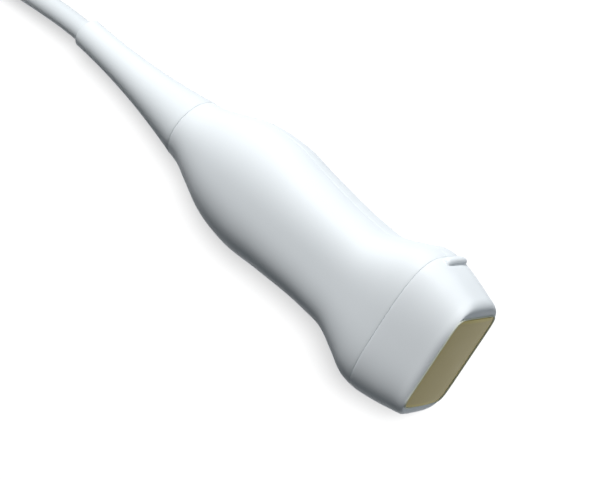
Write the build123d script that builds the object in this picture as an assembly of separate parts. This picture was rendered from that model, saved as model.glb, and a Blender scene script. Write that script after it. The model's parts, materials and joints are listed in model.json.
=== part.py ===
"""Phased-array ultrasound probe with its cable and system connector.

A white moulded handle in two half shells carries a nosepiece with a rectangular
silicone lens at one end and a trumpet-shaped bend-relief boot at the other. The cable
is put away as a tied hank behind the boot and ends in a connector with a rotary lock.

Lengths are millimetres. The probe's axis runs along X with the lens facing +X, the
orientation ridge is on the +Y side, and the probe lies on its broad face at Z = 0.
The pieces are drawn about the probe's axis and moved to the resting place at the end.
"""

from build123d import *
import math
import os

# Handle outline: runs from one station to the next, and the width and thickness there
NECK_DIAMETER = 17.4
NECK_RUN = 3.0
NECK_FLARE = 1.0
NECK_LEAD = 4.0
NECK_LEAD_DIAMETER = 16.0
SWELL_RUN = 6.0
SWELL_WIDTH = 23.2
SWELL_THICKNESS = 20.4
CHEEK_RUN = 7.0
CHEEK_WIDTH = 28.8
CHEEK_THICKNESS = 23.4
BULGE_RUN = 12.0
BULGE_WIDTH = 32.2
BULGE_THICKNESS = 25.1
GRIP_RUN = 12.0
GRIP_WIDTH = 30.0
GRIP_THICKNESS = 24.4
WAIST_RUN = 17.0
WAIST_WIDTH = 28.0
WAIST_THICKNESS = 23.6
FLARE_RUN = 7.0
FLARE_WIDTH = 28.8
FLARE_THICKNESS = 24.0
RISE_RUN = 6.0
RISE_WIDTH = 34.2
RISE_THICKNESS = 24.7
BROW_RUN = 5.0
BROW_WIDTH = 39.2
BROW_THICKNESS = 25.0
PARTING_RUN = 4.0
SHOULDER_WIDTH = 40.0
SHOULDER_THICKNESS = 24.7

# Nosepiece outline
CHEEKBONE_RUN = 6.0
CHEEKBONE_WIDTH = 38.2
CHEEKBONE_THICKNESS = 23.0
TIP_RUN = 6.4
TIP_WIDTH = 34.9
TIP_THICKNESS = 20.6
EDGE_ROUND_LENGTH = 3.5
EDGE_ROUND_WIDTH = 2.7
EDGE_ROUND_THICKNESS = 1.0
EDGE_ROUND_TURNS = (15.0, 30.0, 50.0, 70.0, 90.0)

# Squareness of the sections (two is an ellipse), and how finely they are drawn
ROUND = 2.0
SQUARE = 3.4
FRONT_SQUARE = 6.0
SECTION_POINTS = 24
STATION_SPACING = 4.0

# Walls, fits and seams
WALL = 2.0
NOSE_WALL = 2.1
FRONT_WALL = 3.4
SKIRT_CLEARANCE = 0.3
TONGUE_HEIGHT = 1.2
TONGUE_CLEARANCE = 0.1
GASKET_THICKNESS = 0.3
GASKET_RECESS = 0.4
SEAT_GAP = 0.1
SLIDE_GAP = 0.25

# Orientation ridge on the nosepiece
RIDGE_OFFSET = 3.4
RIDGE_RAMP = 2.9
RIDGE_CREST = 1.2
RIDGE_HEIGHT = 0.95
RIDGE_STEP = 0.35
RIDGE_LENGTH = 8.4
RIDGE_ROOT = 1.2

# Lens and acoustic stack
LENS_WIDTH = 26.6
LENS_THICKNESS = 17.8
LENS_CORNER = 2.4
LENS_CROWN = 0.6
LENS_FLANGE = 0.4
LENS_FLANGE_DEPTH = 1.35
SEAL_WIDTH = 0.35
STACK_WIDTH = 22.0
STACK_THICKNESS = 13.0
MATCHING_DEPTH = 0.5
PIEZO_DEPTH = 0.75
KERF_DEPTH = 0.5
KERF_WIDTH = 0.3
KERF_COUNT = 15
BACKING_DEPTH = 6.0
FLEX_THICKNESS = 0.2
FLEX_WIDTH = 18.0
FLEX_GAP = 0.15

# Chassis, boards and what is soldered to them
FLANGE_DEPTH = 1.9
SPINE_WIDTH = 10.0
SPINE_THICKNESS = 6.0
SPINE_SETBACK = 2.0
BOARD_THICKNESS = 1.2
BOARD_SIDE_ROOM = 1.5
BOARD_SETBACK = 4.6
HEADER_LENGTH = 6.0
HEADER_HEIGHT = 2.2
HEADER_SETBACK = 1.0
HEADER_WIDTH = 18.0
COAX_HEADER_LENGTH = 4.0
COAX_HEADER_HEIGHT = 1.8
COAX_HEADER_WIDTH = 17.0
INDUCTOR_LENGTH = 2.0
INDUCTOR_WIDTH = 1.6
INDUCTOR_HEIGHT = 1.4
INDUCTOR_PITCH_X = 3.0
INDUCTOR_PITCH_Y = 3.4
INDUCTOR_ROWS = 4
INDUCTOR_COLUMNS = 4
RIB_THICKNESS = 1.5
RIB_WIDTH = 16.0
RIB_INSET = 8.0
BOARD_SCREW_INSET = 3.2

# Screws: shank and head radius, head height
SCREW_SHANK = 0.75
SCREW_HEAD = 1.4
SCREW_HEAD_HEIGHT = 0.9
SCREW_GAP = 0.05
CARRIER_SCREW_Y = 13.2
CARRIER_SCREW_Z = 4.4
CARRIER_SCREW_GRIP = 4.0

# Cable, boot and clamp
CABLE_DIAMETER = 6.0
BOOT_LENGTH = 45.0
BOOT_TIP_DIAMETER = 8.3
BOOT_FLARE_POWER = 1.95
BOOT_EDGE = 0.35
BORE_GAP = 0.05
SPIGOT_DIAMETER = 10.8
COLLAR_DIAMETER = 13.0
COLLAR_LENGTH = 1.8
CLAMP_START = 8.0
CLAMP_LENGTH = 6.0
CLAMP_WIDTH = 12.8
CLAMP_THICKNESS = 9.6
CLAMP_SPLIT = 0.4
CLAMP_SCREW_Y = 4.7
SADDLE_WIDTH = 8.0
SADDLE_LENGTH = 3.0
HARNESS_DIAMETER = 4.8
HARNESS_WIDTH = 15.0
CABLE_STEP_IN = 20.0

# Hank: two turns side by side, four high, folded to three cable diameters
HANK_BEHIND_BOOT = 48.0
HANK_OFFSET_Y = 10.0
HANK_FOLD_RADIUS = 18.0
HANK_STRAIGHT = 50.0
HANK_COLUMNS = 2
HANK_LAYERS = 4
TIE_THICKNESS = 0.8
TIE_WIDTH = 10.0
TIE_PLACE = 71.0
TIE_CORNER = 2.9

# System connector, lying on the hank
CONNECTOR_LENGTH = 56.0
CONNECTOR_WIDTH = 44.0
CONNECTOR_HEIGHT = 22.0
CONNECTOR_PLACE = 62.0
CONNECTOR_OFFSET_Y = -8.0
CONNECTOR_CORNER = 6.0
CONNECTOR_EDGE = 1.6
CONNECTOR_WALL = 2.0
CONNECTOR_BOOT_LENGTH = 15.0
CONNECTOR_BOOT_TIP = 7.8
CONNECTOR_BOOT_BASE = 9.6
CONNECTOR_BOOT_RIBS = 6
CONNECTOR_BOOT_GROOVE = 0.45
GRIP_GROOVES = 7
GRIP_GROOVE_PITCH = 3.6
GRIP_GROOVE_WIDTH = 1.6
GRIP_GROOVE_DEPTH = 0.6
GRIP_GROOVE_MARGIN = 4.0
ENTRY_OFFSET_Y = -14.0
ENTRY_HEIGHT = 5.0
CONTACT_WIDTH = 28.0
CONTACT_HEIGHT = 10.0
CONTACT_REACH = 6.0
CONTACT_LEAD_IN = 0.8
CONTACT_FLANGE = 1.6
CONTACT_FLANGE_DEPTH = 2.0
PIN_DIAMETER = 0.9
PIN_LENGTH = 2.4
PIN_PITCH = 2.5
PIN_COLUMNS = 10
PIN_ROWS = 2
POST_DIAMETER = 6.0
POST_INSET = 8.0
CONNECTOR_SCREW_REACH = 16.0
LOCK_SHAFT_DIAMETER = 7.0
LOCK_CAM_DIAMETER = 13.0
LOCK_CAM_DEPTH = 2.0
LOCK_BOSS_DIAMETER = 12.0
LOCK_BOSS_DROP = 4.6
LOCK_KNOB_DIAMETER = 22.0
LOCK_KNOB_DEPTH = 3.0
LOCK_GRIP_LENGTH = 20.0
LOCK_GRIP_WIDTH = 6.0
LOCK_GRIP_HEIGHT = 6.0
LOCK_GRIP_ROUND = 1.2
LOCK_KNOB_ROUND = 0.8
LOCK_GAP = 0.3

# Cable route from the boot to the hank, and from the hank to the connector
ROUTE = [
    (-25.0, 0.0, 0.0),
    (-46.0, 0.0, 0.0),
    (-66.0, -2.8, -1.2),
    (-86.0, -7.2, -4.4),
    (-104.5, -11.4, -7.4),
    (-121.0, -14.0, -8.7),
]
LEAD_ROUTE = [
    (-120.0, -14.0, 15.3),
    (-129.0, -13.8, 15.5),
    (-138.0, -12.3, 17.5),
    (-148.0, -12.0, 18.1),
]
ROUTE_SHARE = 0.45

# Values that follow from the ones above
CABLE_RADIUS = CABLE_DIAMETER / 2
NECK_X = NECK_RUN
SWELL_X = NECK_X + SWELL_RUN
CHEEK_X = SWELL_X + CHEEK_RUN
BULGE_X = CHEEK_X + BULGE_RUN
GRIP_X = BULGE_X + GRIP_RUN
WAIST_X = GRIP_X + WAIST_RUN
FLARE_X = WAIST_X + FLARE_RUN
RISE_X = FLARE_X + RISE_RUN
BROW_X = RISE_X + BROW_RUN
PARTING_X = BROW_X + PARTING_RUN
CHEEKBONE_X = PARTING_X + CHEEKBONE_RUN
TIP_X = CHEEKBONE_X + TIP_RUN
EDGE_ROUND_START = math.radians(EDGE_ROUND_TURNS[0])
FRONT_X = TIP_X + EDGE_ROUND_LENGTH * (1 - math.sin(EDGE_ROUND_START))
INNER_FRONT_X = FRONT_X - FRONT_WALL
LENS_TOP_X = FRONT_X + LENS_CROWN
LENS_BACK_X = INNER_FRONT_X + SEAT_GAP
STACK_FRONT_X = LENS_BACK_X
PIEZO_BACK_X = STACK_FRONT_X - 2 * MATCHING_DEPTH - PIEZO_DEPTH
BACKING_FRONT_X = PIEZO_BACK_X - FLEX_THICKNESS
BACKING_BACK_X = BACKING_FRONT_X - BACKING_DEPTH
FLANGE_FRONT_X = BACKING_BACK_X - SEAT_GAP
FLANGE_BACK_X = FLANGE_FRONT_X - FLANGE_DEPTH
BOARD_FRONT_X = FLANGE_BACK_X - BOARD_SETBACK
SPINE_BACK_X = BULGE_X + SPINE_SETBACK
BOARD_IN = SPINE_THICKNESS / 2
BOARD_OUT = BOARD_IN + BOARD_THICKNESS
BOARD_WIDTH = WAIST_WIDTH - 2 * WALL - 2 * BOARD_SIDE_ROOM
HEADER_TOP = BOARD_OUT + HEADER_HEIGHT
HEADER_FRONT_X = BOARD_FRONT_X - HEADER_SETBACK
FLEX_IN = STACK_THICKNESS / 2 + FLEX_GAP
FLEX_OUT = FLEX_IN + FLEX_THICKNESS
CAVITY_WIDTH = TIP_WIDTH - 2 * NOSE_WALL
CAVITY_THICKNESS = TIP_THICKNESS - 2 * NOSE_WALL
CAVITY_CORNER = 4.0
AXIS_HEIGHT = max(BULGE_THICKNESS, BROW_THICKNESS) / 2
FLOOR = -AXIS_HEIGHT
MIDDLE_X = (LENS_TOP_X - BOOT_LENGTH) / 2
RIB_PLACES = (SPINE_BACK_X + RIB_INSET, FLARE_X - WALL - RIB_THICKNESS)
SCREW_PLACES = (RIB_PLACES[0] + BOARD_SCREW_INSET, RIB_PLACES[1] + BOARD_SCREW_INSET)

HANK_WIDTH = 2 * (HANK_FOLD_RADIUS + (HANK_COLUMNS - 0.5) * CABLE_DIAMETER)
HANK_INNER = 2 * (HANK_FOLD_RADIUS - CABLE_RADIUS)
HANK_NEAR_X = -BOOT_LENGTH - HANK_BEHIND_BOOT
HANK_FOLD_X = HANK_NEAR_X - HANK_WIDTH / 2
HANK_MIDDLE_X = HANK_FOLD_X - HANK_STRAIGHT / 2
HANK_BOTTOM = FLOOR + TIE_THICKNESS
HANK_TOP = HANK_BOTTOM + HANK_LAYERS * CABLE_DIAMETER
CONNECTOR_REAR_X = HANK_NEAR_X - CONNECTOR_PLACE
CONNECTOR_X = CONNECTOR_REAR_X - CONNECTOR_LENGTH / 2
CONNECTOR_FRONT_X = CONNECTOR_REAR_X - CONNECTOR_LENGTH
CONNECTOR_Y = HANK_OFFSET_Y + CONNECTOR_OFFSET_Y
CONNECTOR_BASE = HANK_TOP + TIE_THICKNESS
CONNECTOR_SPLIT = CONNECTOR_BASE + CONNECTOR_HEIGHT / 2
CONNECTOR_TOP = CONNECTOR_BASE + CONNECTOR_HEIGHT

OUTLINE = [
    (-NECK_LEAD, NECK_LEAD_DIAMETER, NECK_LEAD_DIAMETER),
    (0.0, NECK_DIAMETER, NECK_DIAMETER),
    (NECK_X, NECK_DIAMETER + NECK_FLARE, NECK_DIAMETER + NECK_FLARE / 2),
    (SWELL_X, SWELL_WIDTH, SWELL_THICKNESS),
    (CHEEK_X, CHEEK_WIDTH, CHEEK_THICKNESS),
    (BULGE_X, BULGE_WIDTH, BULGE_THICKNESS),
    (GRIP_X, GRIP_WIDTH, GRIP_THICKNESS),
    (WAIST_X, WAIST_WIDTH, WAIST_THICKNESS),
    (FLARE_X, FLARE_WIDTH, FLARE_THICKNESS),
    (RISE_X, RISE_WIDTH, RISE_THICKNESS),
    (BROW_X, BROW_WIDTH, BROW_THICKNESS),
    (PARTING_X, SHOULDER_WIDTH, SHOULDER_THICKNESS),
    (CHEEKBONE_X, CHEEKBONE_WIDTH, CHEEKBONE_THICKNESS),
    (TIP_X, TIP_WIDTH, TIP_THICKNESS),
]


def outline_slope(index, column):
    """Slope of the width or thickness at a named station, from the runs on both sides."""
    slopes = []
    runs = []
    for low, high in zip(OUTLINE[max(index - 1, 0):], OUTLINE[max(index, 1):index + 2]):
        runs.append(high[0] - low[0])
        slopes.append((high[column] - low[column]) / runs[-1])
    if len(slopes) == 1:
        return slopes[0]
    return (slopes[0] * runs[1] + slopes[1] * runs[0]) / (runs[0] + runs[1])


def outline_at(x, column):
    """Width (column 1) or thickness (column 2) of the outline at a place along the axis."""
    index = 0
    while index < len(OUTLINE) - 2 and x > OUTLINE[index + 1][0]:
        index += 1
    low, high = OUTLINE[index], OUTLINE[index + 1]
    run = high[0] - low[0]
    share = (x - low[0]) / run
    rest = 1 - share
    ends = rest ** 2 * (1 + 2 * share) * low[column] + share ** 2 * (1 + 2 * rest) * high[column]
    bends = rest * outline_slope(index, column) - share * outline_slope(index + 1, column)
    return ends + run * share * rest * bends


def squareness_at(x):
    """How square the section is: round at the neck, squarest at the tip."""
    return ROUND + (SQUARE - ROUND) * max(x, 0.0) / TIP_X


def oval(x, width, thickness, squareness):
    """A squared-off oval face across the axis."""
    points = []
    for step in range(SECTION_POINTS):
        angle = 2 * math.pi * step / SECTION_POINTS
        across = math.cos(angle)
        up = math.sin(angle)
        reach = (abs(across) ** squareness + abs(up) ** squareness) ** (-1 / squareness)
        points.append((x, across * reach * width / 2, up * reach * thickness / 2))
    steps = [float(step) for step in range(SECTION_POINTS + 1)]
    return make_face(Edge.make_spline(points, periodic=True, parameters=steps))


def section(x, inset=0.0):
    """The outline's section at a place along the axis, drawn inset millimetres inside."""
    return oval(x, outline_at(x, 1) - 2 * inset, outline_at(x, 2) - 2 * inset, squareness_at(x))


def skin(start, end, inset=0.0):
    """The solid inside the outline between two places, shrunk by an inset."""
    count = max(2, round((end - start) / STATION_SPACING))
    run = end - start
    return loft([section(start + run * step / count, inset) for step in range(count + 1)])


def block(x, y, z):
    """A box from (low, high) pairs along each axis."""
    size = [high - low for low, high in (x, y, z)]
    middle = [(high + low) / 2 for low, high in (x, y, z)]
    return Pos(*middle) * Box(*size)


def rod(x, diameter, y=0.0, z=0.0):
    """A round bar along X between a (low, high) pair."""
    low, high = x
    return Pos((low + high) / 2, y, z) * Rot(0, 90, 0) * Cylinder(diameter / 2, high - low)


def pillar(z, diameter, x=0.0, y=0.0):
    """A round bar along Z between a (low, high) pair."""
    low, high = z
    return Pos(x, y, (low + high) / 2) * Cylinder(diameter / 2, high - low)


def panel(x, width, thickness, corner):
    """A round-cornered plate across the axis between a (low, high) pair of X."""
    low, high = x
    plane = Plane((low, 0, 0), x_dir=(0, 1, 0), z_dir=(1, 0, 0))
    return extrude(plane * RectangleRounded(width, thickness, corner), high - low)


def mirrored(piece):
    """The same piece below the probe's middle plane."""
    return mirror(piece, about=Plane.XY)


def make_handle():
    """Upper and lower half shells, with a tongue, ribs and saddles for what they hold."""
    outer = skin(-NECK_LEAD, CHEEKBONE_X)
    hollow = skin(NECK_X, CHEEKBONE_X, WALL)
    middle = skin(NECK_X, CHEEKBONE_X, WALL / 2)
    tongue_room = skin(NECK_X, CHEEKBONE_X, WALL / 2 + TONGUE_CLEARANCE)
    reach = SHOULDER_WIDTH
    length = block((0, PARTING_X - GASKET_THICKNESS), (-reach, reach), (-reach, reach))
    shell = (outer & length) - hollow - rod((-WALL, NECK_X + WALL), SPIGOT_DIAMETER + 2 * SEAT_GAP)
    upper = split(shell, Plane.XY, keep=Keep.TOP)
    lower = split(shell, Plane.XY, keep=Keep.BOTTOM)
    supports = Part()
    half_rib = RIB_THICKNESS / 2
    for x in RIB_PLACES:
        span = (x - half_rib, x + half_rib)
        supports += block(span, (-RIB_WIDTH / 2, RIB_WIDTH / 2), (BOARD_OUT + SEAT_GAP, reach))
    saddle_x = CLAMP_START + CLAMP_LENGTH / 2
    supports += block(
        (saddle_x - SADDLE_LENGTH / 2, saddle_x + SADDLE_LENGTH / 2),
        (-SADDLE_WIDTH / 2, SADDLE_WIDTH / 2),
        (CLAMP_THICKNESS / 2 + SEAT_GAP, reach),
    )
    supports = supports & middle
    slab = block((NECK_X, PARTING_X - GASKET_THICKNESS), (-reach, reach), (0, TONGUE_HEIGHT))
    groove = slab + Pos(0, 0, TONGUE_CLEARANCE) * slab
    upper = upper - (middle & groove) + supports
    lower = lower + ((tongue_room & slab) - hollow) + mirrored(supports)
    return upper, lower


def make_nose():
    """Nosepiece with a rounded front rim, a lens window, a rear skirt and the ridge."""
    rim = []
    for turn in EDGE_ROUND_TURNS:
        angle = math.radians(turn)
        drop = 2 * (math.cos(EDGE_ROUND_START) - math.cos(angle))
        share = ((angle - EDGE_ROUND_START) / (math.pi / 2 - EDGE_ROUND_START)) ** 2
        rim.append(oval(
            TIP_X + EDGE_ROUND_LENGTH * (math.sin(angle) - math.sin(EDGE_ROUND_START)),
            TIP_WIDTH - EDGE_ROUND_WIDTH * drop,
            TIP_THICKNESS - EDGE_ROUND_THICKNESS * drop,
            SQUARE + (FRONT_SQUARE - SQUARE) * share,
        ))
    body = skin(PARTING_X, TIP_X) + loft(rim) + skin(BROW_X, PARTING_X, WALL + SKIRT_CLEARANCE)
    cavity = panel((BROW_X - WALL, INNER_FRONT_X), CAVITY_WIDTH, CAVITY_THICKNESS, CAVITY_CORNER)
    pocket_depth = LENS_FLANGE_DEPTH + 2 * SEAT_GAP
    grow = 2 * (LENS_FLANGE + SEAT_GAP)
    pocket = panel(
        (INNER_FRONT_X - WALL, INNER_FRONT_X + pocket_depth),
        LENS_WIDTH + grow, LENS_THICKNESS + grow, LENS_CORNER + LENS_FLANGE,
    )
    window = panel(
        (INNER_FRONT_X, FRONT_X + WALL),
        LENS_WIDTH + 2 * SEAL_WIDTH, LENS_THICKNESS + 2 * SEAL_WIDTH, LENS_CORNER + SEAL_WIDTH,
    )
    ridge_top = PARTING_X + RIDGE_OFFSET
    surface = SHOULDER_WIDTH / 2
    ramp_foot = (ridge_top - RIDGE_RAMP, surface - RIDGE_ROOT / 8)
    step_top = (ridge_top, surface + RIDGE_HEIGHT - RIDGE_STEP)
    crest = (ridge_top - RIDGE_CREST, surface + RIDGE_HEIGHT)
    outline = make_face([
        ThreePointArc(ramp_foot, crest, step_top),
        Polyline(
            step_top,
            (ridge_top + RIDGE_STEP, surface - RIDGE_ROOT),
            (ridge_top - RIDGE_RAMP, surface - RIDGE_ROOT),
            ramp_foot,
        ),
    ])
    ridge = extrude(outline, RIDGE_LENGTH / 2, both=True)
    return body + ridge - cavity - pocket - window


def make_gasket():
    """Seal between the handle's mouth and the nosepiece, set back from the surface."""
    back = PARTING_X - GASKET_THICKNESS
    return skin(back, PARTING_X, GASKET_RECESS) - skin(back, PARTING_X, WALL + SKIRT_CLEARANCE / 2)


def make_lens():
    """Silicone lens: crowned front, straight sides and a flange held behind the rim."""
    chord = LENS_THICKNESS / 2
    profile = make_face([
        ThreePointArc((FRONT_X, -chord), (LENS_TOP_X, 0), (FRONT_X, chord)),
        Polyline((FRONT_X, chord), (LENS_BACK_X, chord), (LENS_BACK_X, -chord), (FRONT_X, -chord)),
    ])
    crowned = extrude(Plane.XZ * profile, LENS_WIDTH, both=True)
    body = crowned & panel((LENS_BACK_X, LENS_TOP_X), LENS_WIDTH, LENS_THICKNESS, LENS_CORNER)
    flange = panel(
        (LENS_BACK_X, LENS_BACK_X + LENS_FLANGE_DEPTH),
        LENS_WIDTH + 2 * LENS_FLANGE, LENS_THICKNESS + 2 * LENS_FLANGE, LENS_CORNER + LENS_FLANGE,
    )
    return body + flange


def make_lens_seal():
    """Thin bead that fills the joint between the lens and the window."""
    x = (INNER_FRONT_X + LENS_FLANGE_DEPTH + 2 * SEAT_GAP, FRONT_X)
    bead = panel(x, LENS_WIDTH + 2 * SEAL_WIDTH, LENS_THICKNESS + 2 * SEAL_WIDTH, LENS_CORNER + SEAL_WIDTH)
    return bead - panel(x, LENS_WIDTH, LENS_THICKNESS, LENS_CORNER)


def stack_layer(back, depth):
    """One flat layer of the acoustic stack."""
    half_width = STACK_WIDTH / 2
    half_thickness = STACK_THICKNESS / 2
    return block((back, back + depth), (-half_width, half_width), (-half_thickness, half_thickness))


def make_piezo():
    """Ceramic plate diced into elements along its width."""
    plate = stack_layer(PIEZO_BACK_X, PIEZO_DEPTH)
    front = PIEZO_BACK_X + PIEZO_DEPTH
    pitch = STACK_WIDTH / (KERF_COUNT + 1)
    kerfs = Part()
    for number in range(KERF_COUNT):
        y = pitch * (number + 1) - STACK_WIDTH / 2
        kerfs += block(
            (front - KERF_DEPTH, front + KERF_DEPTH),
            (y - KERF_WIDTH / 2, y + KERF_WIDTH / 2),
            (-STACK_THICKNESS, STACK_THICKNESS),
        )
    return plate - kerfs


def make_flex():
    """Upper flexible circuit: behind the ceramic, back along the stack, onto its header."""
    bend_x = FLANGE_BACK_X - 2 * SEAT_GAP
    header_back = HEADER_FRONT_X - HEADER_LENGTH
    top = HEADER_TOP + FLEX_THICKNESS
    outline = Polyline(
        (PIEZO_BACK_X, SEAT_GAP),
        (PIEZO_BACK_X, FLEX_OUT),
        (bend_x, FLEX_OUT),
        (HEADER_FRONT_X, top),
        (header_back, top),
        (header_back, HEADER_TOP),
        (HEADER_FRONT_X, HEADER_TOP),
        (bend_x, FLEX_IN),
        (BACKING_FRONT_X, FLEX_IN),
        (BACKING_FRONT_X, SEAT_GAP),
        close=True,
    )
    return extrude(Plane.XZ * make_face(outline), FLEX_WIDTH / 2, both=True)


def carrier_screw_places():
    """Y and Z of the screws that hold the chassis to the array carrier."""
    return [(y, z) for y in (-CARRIER_SCREW_Y, CARRIER_SCREW_Y) for z in (-CARRIER_SCREW_Z, CARRIER_SCREW_Z)]


def make_carrier():
    """Aluminium frame around the acoustic stack, seated on the nosepiece's front wall."""
    width = CAVITY_WIDTH - 2 * SLIDE_GAP
    thickness = CAVITY_THICKNESS - 2 * SLIDE_GAP
    frame = panel((FLANGE_FRONT_X, INNER_FRONT_X - SEAT_GAP), width, thickness, CAVITY_CORNER - SLIDE_GAP)
    half_width = STACK_WIDTH / 2 + 2 * SLIDE_GAP
    half_thickness = FLEX_OUT + FLEX_GAP
    frame -= block((BROW_X, FRONT_X), (-half_width, half_width), (-half_thickness, half_thickness))
    for y, z in carrier_screw_places():
        depth = (FLANGE_FRONT_X - WALL, FLANGE_FRONT_X + CARRIER_SCREW_GRIP + SEAT_GAP)
        frame -= rod(depth, 2 * (SCREW_SHANK + SCREW_GAP), y, z)
    return frame


def make_chassis():
    """Flange behind the carrier and a spine that carries both boards."""
    width = CAVITY_WIDTH - 2 * SLIDE_GAP
    thickness = CAVITY_THICKNESS - 2 * SLIDE_GAP
    body = panel((FLANGE_BACK_X, FLANGE_FRONT_X), width, thickness, CAVITY_CORNER - SLIDE_GAP)
    half_slot = FLEX_WIDTH / 2 + 2 * SLIDE_GAP
    slot = block(
        (FLANGE_BACK_X - WALL, FLANGE_FRONT_X + WALL),
        (-half_slot, half_slot),
        (FLEX_IN - FLEX_GAP, FLEX_OUT + FLEX_GAP),
    )
    body = body - slot - mirrored(slot)
    half_spine = SPINE_WIDTH / 2
    body += block((SPINE_BACK_X, FLANGE_BACK_X), (-half_spine, half_spine), (-BOARD_IN, BOARD_IN))
    for y, z in carrier_screw_places():
        body -= rod((FLANGE_BACK_X - WALL, FLANGE_FRONT_X + WALL), 2 * (SCREW_SHANK + SCREW_GAP), y, z)
    for x in SCREW_PLACES:
        body -= pillar((-BOARD_IN - WALL, BOARD_IN + WALL), 2 * (SCREW_SHANK + SCREW_GAP), x)
    return body


def make_carrier_screws():
    """Cap screws through the chassis flange into the carrier."""
    screws = []
    for y, z in carrier_screw_places():
        head = rod((FLANGE_BACK_X - SCREW_HEAD_HEIGHT, FLANGE_BACK_X), 2 * SCREW_HEAD, y, z)
        shank = rod((FLANGE_BACK_X, FLANGE_FRONT_X + CARRIER_SCREW_GRIP), 2 * SCREW_SHANK, y, z)
        screws.append(head + shank)
    return Compound(children=screws)


def make_board():
    """Upper tuning board, lying on the chassis spine."""
    half_width = BOARD_WIDTH / 2
    board = block((SPINE_BACK_X, BOARD_FRONT_X), (-half_width, half_width), (BOARD_IN, BOARD_OUT))
    for x in SCREW_PLACES:
        board -= pillar((0, BOARD_OUT + WALL), 2 * (SCREW_SHANK + SCREW_GAP), x)
    return board


def make_board_screws():
    """Pan-head screws that hold both boards to the spine."""
    screws = []
    for x in SCREW_PLACES:
        head = pillar((BOARD_OUT, BOARD_OUT + SCREW_HEAD_HEIGHT), 2 * SCREW_HEAD, x)
        shank = pillar((SEAT_GAP, BOARD_OUT), 2 * SCREW_SHANK, x)
        screws.append(head + shank)
        screws.append(mirrored(head + shank))
    return Compound(children=screws)


def make_flex_header():
    """Upper board connector that takes the flexible circuit."""
    half_width = HEADER_WIDTH / 2
    span = (HEADER_FRONT_X - HEADER_LENGTH, HEADER_FRONT_X)
    return block(span, (-half_width, half_width), (BOARD_OUT, HEADER_TOP))


def make_coax_headers():
    """Rows at the rear of both boards where the coaxial wires are soldered."""
    half_width = COAX_HEADER_WIDTH / 2
    x = (SPINE_BACK_X + SEAT_GAP, SPINE_BACK_X + SEAT_GAP + COAX_HEADER_LENGTH)
    header = block(x, (-half_width, half_width), (BOARD_OUT, BOARD_OUT + COAX_HEADER_HEIGHT))
    return Compound(children=[header, mirrored(header)])


def make_inductors():
    """Rows of tuning inductors on both boards, between the ribs."""
    middle = (SCREW_PLACES[0] + RIB_PLACES[1]) / 2
    inductors = []
    for row in range(INDUCTOR_ROWS):
        for column in range(INDUCTOR_COLUMNS):
            x = middle + (row - (INDUCTOR_ROWS - 1) / 2) * INDUCTOR_PITCH_X
            y = (column - (INDUCTOR_COLUMNS - 1) / 2) * INDUCTOR_PITCH_Y
            coil = block(
                (x - INDUCTOR_LENGTH / 2, x + INDUCTOR_LENGTH / 2),
                (y - INDUCTOR_WIDTH / 2, y + INDUCTOR_WIDTH / 2),
                (BOARD_OUT, BOARD_OUT + INDUCTOR_HEIGHT),
            )
            inductors.append(coil)
            inductors.append(mirrored(coil))
    return Compound(children=inductors)


def make_clamp():
    """Upper half of the clamp that grips the cable's jacket inside the neck."""
    half_width = CLAMP_WIDTH / 2
    x = (CLAMP_START, CLAMP_START + CLAMP_LENGTH)
    half = block(x, (-half_width, half_width), (CLAMP_SPLIT / 2, CLAMP_THICKNESS / 2))
    half -= rod((CLAMP_START - WALL, CLAMP_START + CLAMP_LENGTH + WALL), CABLE_DIAMETER + 2 * BORE_GAP)
    middle = CLAMP_START + CLAMP_LENGTH / 2
    for y in (-CLAMP_SCREW_Y, CLAMP_SCREW_Y):
        half -= pillar((0, CLAMP_THICKNESS), 2 * (SCREW_SHANK + SCREW_GAP), middle, y)
        seat = CLAMP_THICKNESS / 2 - SCREW_HEAD_HEIGHT
        half -= pillar((seat, CLAMP_THICKNESS), 2 * (SCREW_HEAD + SCREW_GAP), middle, y)
    return half


def make_clamp_screws():
    """Two screws that pull the clamp halves together."""
    seat = CLAMP_THICKNESS / 2 - SCREW_HEAD_HEIGHT
    middle = CLAMP_START + CLAMP_LENGTH / 2
    screws = []
    for y in (-CLAMP_SCREW_Y, CLAMP_SCREW_Y):
        head = pillar((seat, CLAMP_THICKNESS / 2), 2 * SCREW_HEAD, middle, y)
        screws.append(head + pillar((-seat, seat), 2 * SCREW_SHANK, middle, y))
    return Compound(children=screws)


def make_harness():
    """Bundle of coaxial wires that fans out from the cable to the boards."""
    start = CLAMP_START + CLAMP_LENGTH
    end = SPINE_BACK_X - SEAT_GAP
    across = Plane((start, 0, 0), x_dir=(0, 1, 0), z_dir=(1, 0, 0))
    beyond = Plane((end, 0, 0), x_dir=(0, 1, 0), z_dir=(1, 0, 0))
    bundle = across * Circle(HARNESS_DIAMETER / 2)
    fan = beyond * Ellipse(HARNESS_WIDTH / 2, BOARD_OUT)
    return loft([bundle, fan])


def make_boot():
    """Trumpet-shaped bend relief with a spigot and collar that lock in the neck."""
    base = NECK_DIAMETER / 2
    tip = BOOT_TIP_DIAMETER / 2
    bore = CABLE_RADIUS + BORE_GAP
    flare = []
    for share in (0.0, 0.2, 0.4, 0.6, 0.8, 1.0):
        x = -BOOT_LENGTH + BOOT_EDGE + share * (BOOT_LENGTH - 2 * BOOT_EDGE)
        flare.append((x, tip + (base - tip) * share ** BOOT_FLARE_POWER))
    collar_start = NECK_X + SEAT_GAP
    collar_end = collar_start + COLLAR_LENGTH
    outline = make_face([
        Spline(*flare),
        Polyline(
            flare[-1],
            (0, base - BOOT_EDGE),
            (0, SPIGOT_DIAMETER / 2),
            (collar_start, SPIGOT_DIAMETER / 2),
            (collar_start, COLLAR_DIAMETER / 2),
            (collar_end, COLLAR_DIAMETER / 2),
            (collar_end, bore),
            (-BOOT_LENGTH, bore),
            (-BOOT_LENGTH, tip - BOOT_EDGE),
            flare[0],
        ),
    ])
    return revolve(outline, Axis.X)


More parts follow.
